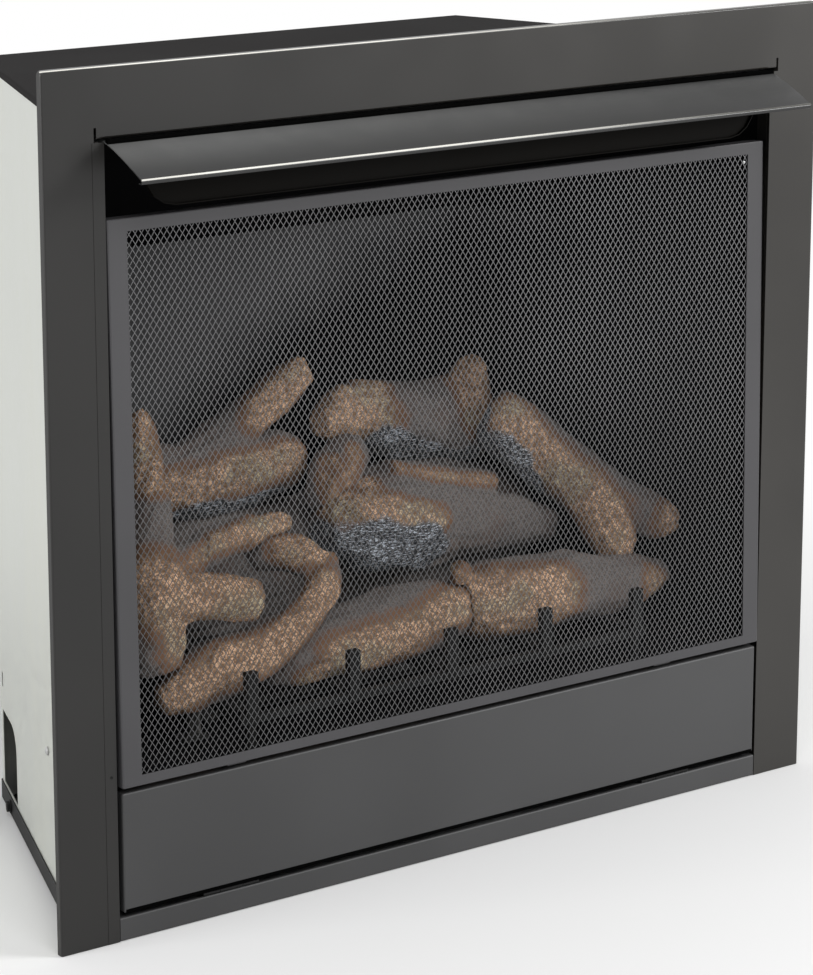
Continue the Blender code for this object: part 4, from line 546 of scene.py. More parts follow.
def evaluated_mesh(obj: Piece) -> Mesh:
    """Apply an object's modifiers, and remove the object.

    Args:
        obj: the object.

    Returns:
        A plain mesh of what it showed.
    """
    bpy.context.view_layer.update()
    graph = bpy.context.evaluated_depsgraph_get()
    mesh = bpy.data.meshes.new_from_object(obj.evaluated_get(graph), depsgraph=graph)
    bpy.data.objects.remove(obj, do_unlink=True)
    return mesh


def run_tree(name: str, group: bpy.types.NodeTree, values: dict[str, object],
             source: Mesh | None = None) -> Mesh:
    """Run a geometry node tree with given inputs and return its plain mesh.

    Args:
        name: a name for the mesh.
        group: the geometry node tree.
        values: input values by socket name.
        source: the mesh that the tree works on, or None for an empty one.

    Returns:
        The mesh.
    """
    carrier = mesh_object(name, source or bpy.data.meshes.new(name))
    modifier = carrier.modifiers.new("nodes", "NODES")
    modifier.node_group = group
    for item in group.interface.items_tree:
        if item.item_type == "SOCKET" and item.in_out == "INPUT" and item.name in values:
            modifier[item.identifier] = values[item.name]
    mesh = evaluated_mesh(carrier)
    mesh.name = name
    return mesh


def geometry_group(name: str, inputs: dict[str, float | None]) -> tuple[Tree, dict, Socket]:
    """Start a geometry node tree.

    Args:
        name: the tree's name.
        inputs: a whole or real number as the default of each input, or None for a material.

    Returns:
        The Tree, its input sockets by name with the geometry as "Geometry", and the socket for the final geometry.
    """
    group = bpy.data.node_groups.new(name, "GeometryNodeTree")
    for way in ("OUTPUT", "INPUT"):
        group.interface.new_socket("Geometry", in_out=way, socket_type="NodeSocketGeometry")
    kinds = {int: "NodeSocketInt", float: "NodeSocketFloat", type(None): "NodeSocketMaterial"}
    for key, value in inputs.items():
        socket = group.interface.new_socket(key, in_out="INPUT", socket_type=kinds[type(value)])
        if value is not None:
            socket.default_value = value
    entry = group.nodes.new("NodeGroupInput")
    leave = group.nodes.new("NodeGroupOutput")
    return Tree(group), {key: entry.outputs[key] for key in ("Geometry", *inputs)}, leave.inputs[0]


def finished_mesh(name: str, bm: bmesh.types.BMesh) -> Mesh:
    """Turn what was built into a mesh.

    Args:
        name: a name for the mesh.
        bm: what was built, which is freed.

    Returns:
        The mesh.
    """
    mesh = bpy.data.meshes.new(name)
    bm.to_mesh(mesh)
    bm.free()
    return mesh


def tube_mesh(name: str, start: Point, end: Point, radius: float) -> Mesh:
    """Return a closed straight tube between two points.

    Args:
        name: a name for the mesh.
        start: centre of its first end.
        end: centre of its other end.
        radius: its radius.

    Returns:
        The mesh.
    """
    axis = Vector(end) - Vector(start)
    bm = bmesh.new()
    bmesh.ops.create_cone(bm, cap_ends=True, segments=TUBE_SIDES, radius1=radius, radius2=radius, depth=axis.length)
    turn = axis.to_track_quat("Z", "Y").to_matrix().to_4x4()
    bm.transform(Matrix.Translation((Vector(start) + Vector(end)) / 2) @ turn)
    return finished_mesh(name, bm)


def block_mesh(name: str, low: Point, high: Point, bevel: float = 0.0) -> Mesh:
    """Return a closed box mesh.

    Args:
        name: a name for the mesh.
        low: its lowest corner.
        high: its highest corner.
        bevel: how far its edges are rounded.

    Returns:
        The mesh.
    """
    bm = bmesh.new()
    bmesh.ops.create_cube(bm, size=1.0)
    size = Vector(high) - Vector(low)
    bm.transform(Matrix.Translation((Vector(low) + Vector(high)) / 2) @ Matrix.Diagonal((*size, 1)))
    if bevel:
        bmesh.ops.bevel(bm, geom=bm.edges[:], offset=bevel, segments=3, affect="EDGES", profile=0.5)
    return finished_mesh(name, bm)


@dataclass
class Assembly:
    """What every sub-assembly is built with: the frame's objects by node name, and the finishes."""

    nodes: dict[str, Piece]
    finishes: Finishes

    def dress(self, wear: dict[str, str]) -> None:
        """Give CAD nodes their finishes.

        Args:
            wear: the names of the nodes with spaces between them, by short name of the finish.
        """
        for finish, names in wear.items():
            for name in names.split():
                self.nodes[name].data.materials.clear()
                self.nodes[name].data.materials.append(self.finishes[finish])

    def add(self, name: str, mesh: Mesh, finish: str, body: Body = Body.CHASSIS) -> Piece:
        """Let a new piece ride on a body, with its finish.

        Args:
            name: the piece's name.
            mesh: its mesh, in world places.
            finish: short name of its finish.
            body: the body that carries it.

        Returns:
            The piece.
        """
        piece = mesh_object(name, mesh, self.finishes[finish])
        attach(piece, body)
        return piece


@dataclass(frozen=True)
class Head:
    """A fastener head or nut: sides, radius, height, how far its top domes or dishes, and its washer."""

    sides: int
    radius: float
    height: float
    dome: float = 0.0
    washer: float = 0.0
    washer_height: float = 0.0003


class HeadShape(Enum):
    """The kinds of head on the insert."""

    PAN = Head(20, 0.0040, 0.0008, 0.0016, 0.0042)
    FLAT_HEX = Head(6, 0.0042, 0.0008, -0.0002, 0.0062, 0.0004)
    BASE_BOLT = Head(6, 0.0052, 0.0032, -0.0004, 0.0068, 0.0009)
    RIVET = Head(16, 0.0015, 0.0002, 0.0007, 0.0016)
    VALVE_SCREW = Head(16, 0.0028, 0.0012, 0.0004, 0.0030)
    PIPE_NUT = Head(6, 0.0080, 0.0080, 0.0, 0.0064)
    TUBE_NUT = Head(6, 0.0046, 0.0070, 0.0, 0.0036)
    PORT = Head(10, 0.0011, 0.00025, 0.0, 0.0011, 0.0001)
    STILE_HOLE = Head(16, 0.0014, 0.0001, 0.0, 0.0014, 0.0001)


Seat = tuple[Point, Point]
FORWARD, REARWARD = (0.0, -1.0, 0.0), (0.0, 1.0, 0.0)
LEFTWARD, UPWARD = (-1.0, 0.0, 0.0), (0.0, 0.0, 1.0)


@dataclass
class Fasteners(Assembly):
    """Screw heads, bolts, nuts, rivets and burner ports, all from one tree of head shapes."""

    tree: bpy.types.NodeTree = field(init=False)
    side_half: float = 0.4145
    rear_half: float = 0.2805
    casing_depth: float = 0.386
    screw_sink: float = 0.0011
    bolt_sink: float = 0.0015
    back_screws: int = 5
    edge_inset: float = 0.006
    end_inset: float = 0.06
    plate_inset: float = 0.008
    ports: int = 33
    port_pitch: float = 0.0115
    pipe_nuts: tuple[Seat, ...] = ((local(-0.1375, 0.0933, 0.055), REARWARD), (local(-0.200, 0.1260, 0.055), FORWARD),
                                   (local(-0.200, 0.1740, 0.055), REARWARD), (local(-0.155, 0.0673, 0.0785), LEFTWARD))
    tube_nut: Seat = (local(-0.155, 0.0543, 0.066), LEFTWARD)
    stile_hole: Seat = (local(-0.3806, -0.0003, 0.1560), FORWARD)
    valve_screws: tuple[Seat, ...] = tuple((local(across, setback, 0.091), UPWARD)
                                           for across in (-0.147, -0.093) for setback in (0.0485, 0.0860))

    def __post_init__(self) -> None:
        """Build the tree."""
        self.tree = self.head_tree()

    def head_tree(self) -> bpy.types.NodeTree:
        """Build the tree: a head and its washer on every point, turned to face as the point says.

        Returns:
            The tree.
        """
        tree, given, out = geometry_group("fastener_heads", {
            "Sides": 6, "Radius": 0.004, "Height": 0.003, "Dome": 0.0, "Washer Radius": 0.006,
            "Washer Height": 0.0008, "Material": None})
        block = tree.node("GeometryNodeMeshCylinder", {"fill_type": "TRIANGLE_FAN"}, Vertices=given["Sides"],
                          Side_Segments=1, Fill_Segments=3, Radius=given["Radius"], Depth=given["Height"])
        place = tree.parts(tree.node("GeometryNodeInputPosition").outputs[0])
        reach = tree.plus(tree.times(place[0], place[0]), tree.times(place[1], place[1]))
        share = tree.math("DIVIDE", reach, tree.times(given["Radius"], given["Radius"]))
        swell = tree.times(given["Dome"], tree.math("SUBTRACT", 1.0, share))
        swell = tree.times(swell, tree.math("GREATER_THAN", place[2], 0.0))
        lift = tree.plus(tree.times(given["Height"], 0.5), given["Washer Height"])
        domed = tree.moved(block.outputs["Mesh"], Z=tree.plus(swell, lift))
        washer = tree.node("GeometryNodeMeshCylinder", Vertices=20, Radius=given["Washer Radius"],
                           Depth=given["Washer Height"])
        head = tree.node("GeometryNodeJoinGeometry")
        for part in (tree.moved(washer.outputs["Mesh"], Z=tree.times(given["Washer Height"], 0.5)), domed):
            tree.feed(head, _0=part)
        facing = tree.node("GeometryNodeInputNamedAttribute", {"data_type": "FLOAT_VECTOR"}, Name="facing")
        turn = tree.node("FunctionNodeAlignRotationToVector", {"axis": "Z"}, Vector=facing.outputs[0])
        final = tree.copies(given["Geometry"], head.outputs[0], turn.outputs[0], given["Material"])
        tree.tree.links.new(final, out)
        return tree.tree

    def place(self, name: str, shape: HeadShape, finish: str, seats: Sequence[Seat],
              body: Body = Body.CHASSIS) -> Piece:
        """Put equal heads on a body.

        Args:
            name: the piece's name.
            shape: the kind of head.
            finish: short name of the finish.
            seats: world place and outward direction of each head.
            body: the body that carries them.

        Returns:
            The piece.
        """
        points = bpy.data.meshes.new(name)
        points.from_pydata([place for place, _ in seats], [], [])
        facing = points.attributes.new("facing", "FLOAT_VECTOR", "POINT")
        facing.data.foreach_set("vector", [part for _, way in seats for part in way])
        head = shape.value
        mesh = run_tree(name, self.tree, {
            "Sides": head.sides, "Radius": head.radius, "Height": head.height, "Dome": head.dome,
            "Washer Radius": head.washer or head.radius, "Washer Height": head.washer_height,
            "Material": self.finishes[finish]}, points)
        LOG.info("%s: %d heads", name, len(seats))
        return self.add(name, mesh, finish, body)

    def side_heads(self) -> None:
        """Put real heads in place of the plain screw and bolt solids on each side."""
        taper = math.atan2(self.side_half - self.rear_half, self.casing_depth)
        kinds = (("side_screw", HeadShape.PAN, "steel", self.screw_sink),
                 ("base_bolt", HeadShape.BASE_BOLT, "deep", self.bolt_sink))
        for side, word in ((-1, "left"), (1, "right")):
            outward = Vector((side * math.cos(taper), math.sin(taper), 0))
            for kind, shape, finish, sink in kinds:
                node = f"{kind}_{word}"
                low, high = (Vector(corner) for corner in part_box(node))
                seat = (low + high) / 2 - outward * sink
                piece = self.place(f"{node}_head", shape, finish, [(tuple(seat), tuple(outward))])
                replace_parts(piece, node)

    def back_heads(self) -> None:
        """Screw the back panel to the rear flanges of the side panels."""
        low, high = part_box("casing_back")
        first, run = low[2] + self.end_inset, high[2] - low[2] - 2 * self.end_inset
        seats = [((across, high[1], first + run * index / (self.back_screws - 1)), REARWARD)
                 for index in range(self.back_screws)
                 for across in (low[0] + self.edge_inset, high[0] - self.edge_inset)]
        self.place("back_panel_screws", HeadShape.FLAT_HEX, "steel", seats)

    def burner_ports(self) -> None:
        """Mark the row of flame ports along each burner tube with dark discs that paint the shade inside the holes."""
        slope = math.sqrt(0.5)
        seats = []
        for node in ("burner_front", "burner_rear"):
            low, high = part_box(node)
            reach = slope * (high[2] - low[2]) / 2
            depth, level = (low[1] + high[1]) / 2 - reach, (low[2] + high[2]) / 2 + reach
            seats += [(((index - (self.ports - 1) / 2) * self.port_pitch, depth, level), (0.0, -slope, slope))
                      for index in range(self.ports)]
        # dark discs: painted shade of the port holes
        self.place("burner_ports", HeadShape.PORT, "deep", seats)

    def build(self) -> None:
        """Place every head: on the casing, the burner, the gas line, its valve and plate, and the stile's hole."""
        self.side_heads()
        self.back_heads()
        self.burner_ports()
        self.place("flare_nuts", HeadShape.PIPE_NUT, "brass", self.pipe_nuts)
        self.place("pilot_tube_nut", HeadShape.TUBE_NUT, "brass", [self.tube_nut])
        self.place("valve_screws", HeadShape.VALVE_SCREW, "steel", self.valve_screws)
        low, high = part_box("control_plate")
        inset = self.plate_inset
        plate = [((across, low[1], level), FORWARD) for across in (low[0] + inset, high[0] - inset)
                 for level in (low[2] + inset, high[2] - inset)]
        self.place("plate_screws", HeadShape.PAN, "steel", plate)
        # the stile's hole is a dark disc: painted shade of the hole
        self.place("stile_hole", HeadShape.STILE_HOLE, "deep", [self.stile_hole])


@dataclass
class ExpandedScreen(Assembly):
    """The lift-off screen: its frame and the fine expanded-metal net."""

    half_width: float = 0.3525
    height: float = 0.490
    base: float = 0.0095
    columns: int = 111
    rows: int = 54
    strand: float = 0.00061
    front: float = 0.0016
    forward: float = 0.005
    level: float = 0.1443
    lean: float = 0.009
    frame_height: float = 0.510
    rivet_across: float = 0.3480
    rivet_rise: float = 0.4905

    def tilt(self) -> float:
        """Return the angle that the screen leans back."""
        return math.atan2(self.lean, self.frame_height)

    def net_tree(self) -> bpy.types.NodeTree:
        """Build the tree of the net: zigzag strands side by side, joined where they meet.

        Returns:
            The tree.
        """
        tree, given, out = geometry_group("expanded_net", {
            "Columns": self.columns, "Rows": self.rows, "Width": 2 * self.half_width, "Height": self.height,
            "Strand": self.strand, "Material": None})
        half_pitch = tree.math("DIVIDE", given["Width"], tree.times(given["Columns"], 2.0))
        step = tree.math("DIVIDE", given["Height"], tree.times(given["Rows"], 2.0))
        line = tree.node("GeometryNodeMeshLine", Count=tree.plus(tree.times(given["Rows"], 2.0), 1.0),
                         Offset=tree.vector(Z=step))
        parity = tree.math("MODULO", tree.node("GeometryNodeInputIndex").outputs[0], 2.0)
        zigzag = tree.moved(line.outputs[0], X=tree.times(tree.math("SUBTRACT", parity, 0.5), half_pitch))
        path = tree.node("GeometryNodeMeshToCurve", Mesh=zigzag)
        section = tree.node("GeometryNodeCurvePrimitiveQuadrilateral", Width=given["Strand"], Height=given["Strand"])
        strand = tree.node("GeometryNodeCurveToMesh", Curve=path.outputs[0], Profile_Curve=section.outputs[0],
                           Fill_Caps=True)
        start = tree.math("SUBTRACT", tree.times(half_pitch, 0.5), tree.math("DIVIDE", given["Width"], 2.0))
        stations = tree.node("GeometryNodeMeshLine", Count=tree.times(given["Columns"], 2.0),
                             Offset=tree.vector(X=half_pitch), Start_Location=tree.vector(X=start))
        turn = tree.vector(Z=tree.times(parity, math.pi))
        tree.tree.links.new(tree.copies(stations.outputs[0], strand.outputs[0], turn, given["Material"]), out)
        return tree.tree

    def build(self) -> None:
        """Dress the screen's frame and put the fine net in place of the coarse one."""
        mesh = run_tree("fine_net", self.net_tree(), {
            "Columns": self.columns, "Rows": self.rows, "Width": 2 * self.half_width, "Height": self.height,
            "Strand": self.strand, "Material": self.finishes["net"]})
        place = Matrix.Translation(local(0, -self.forward, self.level)) @ Matrix.Rotation(-self.tilt(), 4, "X")
        mesh.transform(place @ Matrix.Translation((0, self.front, self.base)))
        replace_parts(self.add("fine_net", mesh, "net", Body.SCREEN), "screen_mesh")
        self.dress({"screen": "screen_frame"})
        LOG.info("fine net: %d faces", len(mesh.polygons))

    def corner(self) -> Seat:
        """Find the net's upper right corner inside the frame.

        Returns:
            Its place and outward direction.
        """
        lean = self.tilt()
        depth = self.front - self.strand / 2 - self.forward + self.rivet_rise * math.sin(lean)
        return local(self.rivet_across, depth, self.level + self.rivet_rise), (0.0, -math.cos(lean), math.sin(lean))


Stroke = tuple[Point, Point, float]


def millimetres(place: Point) -> np.ndarray:
    """Return the world place of a point given in millimetres from the face plane."""
    return np.array(local(*(part / 1000 for part in place)))


@dataclass(frozen=True)
class LogPaint:
    """How one log is finished, in millimetres from the face plane: strokes of clay and char, and drawn-out tips."""

    tan: tuple[Stroke, ...] = ()
    char: tuple[Stroke, ...] = ()
    pulls: tuple[Stroke, ...] = ()
    swell: float = 2.6


LOG_PAINTS = {
    "log_rear_base": LogPaint(),
    "log_front_middle": LogPaint(
        tan=(((-95, 51, 193), (-30, 53, 205), 20), ((-30, 53, 205), (43, 59, 223), 17),
             ((-133, 62, 181), (-102, 50, 197), 9)),
        swell=1.2),
    "log_front_right": LogPaint(
        tan=(((64, 56, 221), (159, 48, 221), 26), ((283, 62, 206), (298, 69, 183), 11),
             ((50, 77, 263), (51, 66, 245), 8)),
        pulls=(((306, 68, 207), (7, 0, 4), 35),),
        swell=1.4),
    "log_front_diagonal": LogPaint(
        tan=(((-285, 52, 198), (-208, 44, 215), 15), ((-208, 44, 215), (-150, 51, 231), 16),
             ((-150, 51, 231), (-105, 67, 264), 16), ((-124, 106, 299), (-93, 95, 297), 13)),
        pulls=(((-228, 62, 228), (0, 4, 12), 34),),
        swell=1.4),
    "log_left_fork": LogPaint(
        tan=(((-248, 160, 426), (-263, 120, 380), 13), ((-303, 49, 303), (-216, 37, 279), 27),
             ((-290, 45, 276), (-276, 45, 249), 20), ((-243, 75, 315), (-222, 84, 321), 8),
             ((-210, 89, 324), (-112, 125, 320), 11)),
        pulls=(((-247, 149, 430), (-5, 0, 10), 35), ((-268, 45, 246), (16, 0, 6), 30))),
    "log_rear_left": LogPaint(
        tan=(((-195, 215, 338), (-127, 207, 350), 14), ((-127, 207, 350), (-42, 215, 352), 15),
             ((-82, 210, 402), (-42, 206, 440), 16), ((-195, 218, 330), (-100, 210, 345), 12)),
        char=(((-191, 241, 305), (-133, 216, 311), 14), ((-133, 216, 311), (-62, 224, 312), 12)),
        pulls=(((-53, 208, 441), (17, 0, 10), 42),)),
    "log_rear_right": LogPaint(
        tan=(((26, 238, 394), (59, 225, 361), 24), ((-3, 230, 377), (3, 218, 379), 13),
             ((73, 245, 403), (62, 227, 383), 13), ((194, 249, 404), (185, 225, 366), 17)),
        char=(((77, 227, 344), (134, 231, 324), 17), ((134, 231, 324), (179, 237, 314), 15)),
        pulls=(((34, 232, 406), (-12, 0, 15), 26), ((197, 250, 401), (0, 0, 13), 34),
               ((219, 250, 377), (4, 0, 0), 30))),
    "log_centre_stub": LogPaint(
        tan=(((-35, 171, 340), (-36, 156, 321), 9), ((-22, 182, 352), (-20, 174, 349), 8),
             ((12, 187, 357), (-19, 161, 337), 7))),
    "log_middle": LogPaint(
        tan=(((-41, 157, 316), (18, 125, 307), 15), ((18, 125, 307), (70, 125, 293), 12),
             ((7, 165, 330), (-3, 138, 320), 9), ((41, 163, 342), (85, 153, 325), 6),
             ((90, 154, 324), (169, 159, 309), 6)),
        char=(((-42, 167, 267), (-2, 125, 270), 23), ((-2, 125, 270), (56, 126, 267), 17))),
    "log_crossing": LogPaint(
        tan=(((194, 167, 353), (221, 137, 316), 19), ((221, 137, 316), (253, 97, 276), 23),
             ((253, 97, 276), (258, 82, 244), 20), ((325, 88, 258), (330, 88, 249), 15)),
        char=(((202, 210, 350), (193, 168, 318), 15), ((193, 168, 318), (214, 168, 289), 13)),
        pulls=(((210, 189, 365), (-3, 0, 15), 40), ((191, 189, 345), (-12, 0, 11), 34),
               ((263, 80, 239), (-2, 0, -11), 36), ((325, 88, 260), (16, 0, -2), 40))),
}


@dataclass
class LogSet(Assembly):
    """The refractory logs: each one is reshaped from its solid, with bark, cracks and airbrushed paint."""

    voxel: float = 0.0028
    softness: float = 0.7
    passes: int = 9
    weld: float = 0.00001
    squeeze: float = 0.80
    lump: float = 0.0030
    ridge: float = 0.0026
    fine: float = 0.0004
    cleft: float = 0.0016
    cleft_reach: float = 0.035
    cleft_edge: float = 0.03
    scales: tuple[int, int, int, int] = (26, 70, 330, 60)

    def smooth_mesh(self, source: Piece, name: str) -> Mesh:
        """Return a fine, rounded copy of a log's solid.

        Args:
            source: the CAD node.
            name: a name for the copy.

        Returns:
            The mesh.
        """
        bm = bmesh.new()
        bm.from_mesh(source.data)
        bmesh.ops.remove_doubles(bm, verts=bm.verts[:], dist=self.weld)
        carrier = mesh_object(name, finished_mesh(name, bm))
        remesh = carrier.modifiers.new("grid", "REMESH")
        remesh.mode = "VOXEL"
        remesh.voxel_size = self.voxel
        soften = carrier.modifiers.new("soften", "SMOOTH")
        soften.factor = self.softness
        soften.iterations = self.passes
        return evaluated_mesh(carrier)

    def shape(self, mesh: Mesh, paint: LogPaint, seed: float) -> None:
        """Push bark and lumps into a log and write its paint attributes.

        Args:
            mesh: the log's fine mesh.
            paint: its paint.
            seed: offset of its noise.
        """
        count = len(mesh.vertices)
        points, normals = np.empty(count * 3), np.empty(count * 3)
        mesh.vertices.foreach_get("co", points)
        mesh.vertices.foreach_get("normal", normals)
        points, normals = points.reshape(-1, 3), normals.reshape(-1, 3)
        centred = points - points.mean(axis=0)
        axis = np.linalg.svd(centred[:: max(1, count // 2000)], full_matrices=False)[2][0]
        squeezed = centred - self.squeeze * ((centred @ axis)[:, None] * axis)
        shift = Vector((seed, 2.3 * seed, -1.7 * seed))
        lump, ridge, fine, cleft = self.scales
        lumps = np.array([noise.noise(Vector(p) * lump + shift) for p in centred])
        ridges = np.array([noise.turbulence(Vector(p) * ridge + shift, 3, False) for p in squeezed])
        grains = np.array([noise.noise(Vector(p) * fine + shift) for p in squeezed])
        cuts = np.array([abs(noise.noise(Vector(p) * cleft + shift * 2)) for p in squeezed])
        crack = np.clip((self.cleft_reach - cuts) / self.cleft_edge, 0, 1) * np.clip((ridges - 0.35) * 4, 0, 1)
        push = paint.swell / 1000 + self.lump * lumps + self.ridge * (ridges - 0.5)
        push = push + self.fine * grains - self.cleft * crack
        shaped = points + normals * push[:, None]
        for place, pull, reach in paint.pulls:
            near = np.exp(-np.sum((points - millimetres(place)) ** 2, axis=1) * 1e6 / reach**2)
            shaped += near[:, None] * np.array(pull) / 1000
        mesh.vertices.foreach_set("co", shaped.ravel())
        self.write(mesh, "clay", self.sprayed(points, paint.tan))
        self.write(mesh, "char", self.sprayed(points, paint.char))
        self.write(mesh, "crack", crack)
        mesh.shade_smooth()
        mesh.update()

    @staticmethod
    def sprayed(points: np.ndarray, strokes: tuple[Stroke, ...]) -> np.ndarray:
        """Return 0 to 1 by how near points lie to airbrush strokes.

        Args:
            points: world places, one per row.
            strokes: start, end and radius of each stroke.

        Returns:
            One number for each point.
        """
        best = np.zeros(len(points))
        for start, end, radius in strokes:
            first = millimetres(start)
            along = millimetres(end) - first
            share = np.clip((points - first) @ along / max(along @ along, 1e-9), 0, 1)
            distance = np.linalg.norm(points - first - share[:, None] * along, axis=1)
            strength = min(1.0, 0.35 + radius / 20)
            best = np.maximum(best, strength * np.clip((2.0 - distance * 1000 / radius) / 1.4, 0, 1))
        return best

    @staticmethod
    def write(mesh: Mesh, name: str, values: np.ndarray) -> None:
        """Store one number for each vertex as an attribute."""
        layer = mesh.attributes.new(name, "FLOAT", "POINT")
        layer.data.foreach_set("value", np.clip(values, 0, 1).astype(np.float32))

    def build(self) -> None:
        """Put a detailed log in place of each solid one."""
        for index, (name, paint) in enumerate(LOG_PAINTS.items()):
            mesh = self.smooth_mesh(self.nodes[name], f"bark_{name}")
            self.shape(mesh, paint, 3.1 + 1.9 * index)
            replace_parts(self.add(f"bark_{name}", mesh, "clay"), name)
            LOG.info("%s: %d faces", name, len(mesh.polygons))


@dataclass
class Casing(Assembly):
    """The face, hood, tapered casing and firebox, which keep their folded solids."""

    edge_radius: float = 0.0007
    lip_radius: float = 0.00115
    lip_height: float = 0.0037
    shadow_filler_radius: float = 0.0026
    shadow_filler_clearance: float = 0.0008
    stile_inner: float = 0.385
    stile_trim: float = 0.0098
    stile_lap: float = 0.002
    door_shadow_filler: float = 0.0032
    shadow_filler_inset: float = 0.0015
    strip_proud: float = 0.0003
    strip_depth: float = 0.0006

    def edges(self) -> None:
        """Lay the bright beads that paint highlights on the hood's lip and the face's top, and a black strip above the
        hood that paints the shadow of the gap there.
        """
        low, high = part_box("hood")
        # the beads are painted highlights; the black strip above the hood is painted shadow
        lip, seal, edge = self.lip_radius, self.shadow_filler_radius, self.edge_radius
        lines = [("hood_lip_bead", low[0], high[0], low[1] + lip, low[2] + self.lip_height, lip, "edge"),
                 ("hood_shadow_filler", low[0], high[0], FACE_Y - seal - self.shadow_filler_clearance, high[2], seal, "seal")]
        low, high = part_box("face_frame")
        lines.append(("face_top_bead", low[0], high[0], FACE_Y + edge, high[2] - edge, edge, "edge"))
        for name, start, end, depth, level, radius, finish in lines:
            self.add(name, tube_mesh(name, (start, depth, level), (end, depth, level), radius), finish)

    def strips(self) -> None:
        """Close the slots beside the stiles, and lay a black strip along the door's lower edge that paints the shadow
        of the gap there.
        """
        proud, depth, inset = self.strip_proud, self.strip_depth, self.shadow_filler_inset
        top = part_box("jamb_left")[1][2]
        near, far = self.stile_inner - self.stile_trim, self.stile_inner + self.stile_lap
        for name, start, end in (("left_stile_trim", -far, -near), ("right_stile_trim", near, far)):
            self.add(name, block_mesh(name, local(start, -proud, 0.0), local(end, depth, top)), "face")
        # black strip at the door's lower edge: painted shadow of the gap
        low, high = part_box("access_door")
        seal = block_mesh("door_shadow_filler", (low[0] + inset, low[1] - proud, low[2]),
                          (high[0] - inset, low[1] + depth, low[2] + self.door_shadow_filler))
        self.add("door_shadow_filler", seal, "seal", Body.DOOR)

    def build(self) -> None:
        """Dress the sheet-metal solids."""
        self.dress({
            "face": "face_frame", "door": "bottom_rail access_door", "hood": "hood", "roof": "casing_top",
            "apron": "hood_apron", "deep": "base_pan header door_catch", "jamb": "jamb_left jamb_right",
            "liner": "liner_back liner_side_left liner_side_right hearth_floor smoke_baffle",
            "zinc": "casing_side_left casing_side_right casing_back"})
        self.edges()
        self.strips()
        LOG.info("casing dressed")


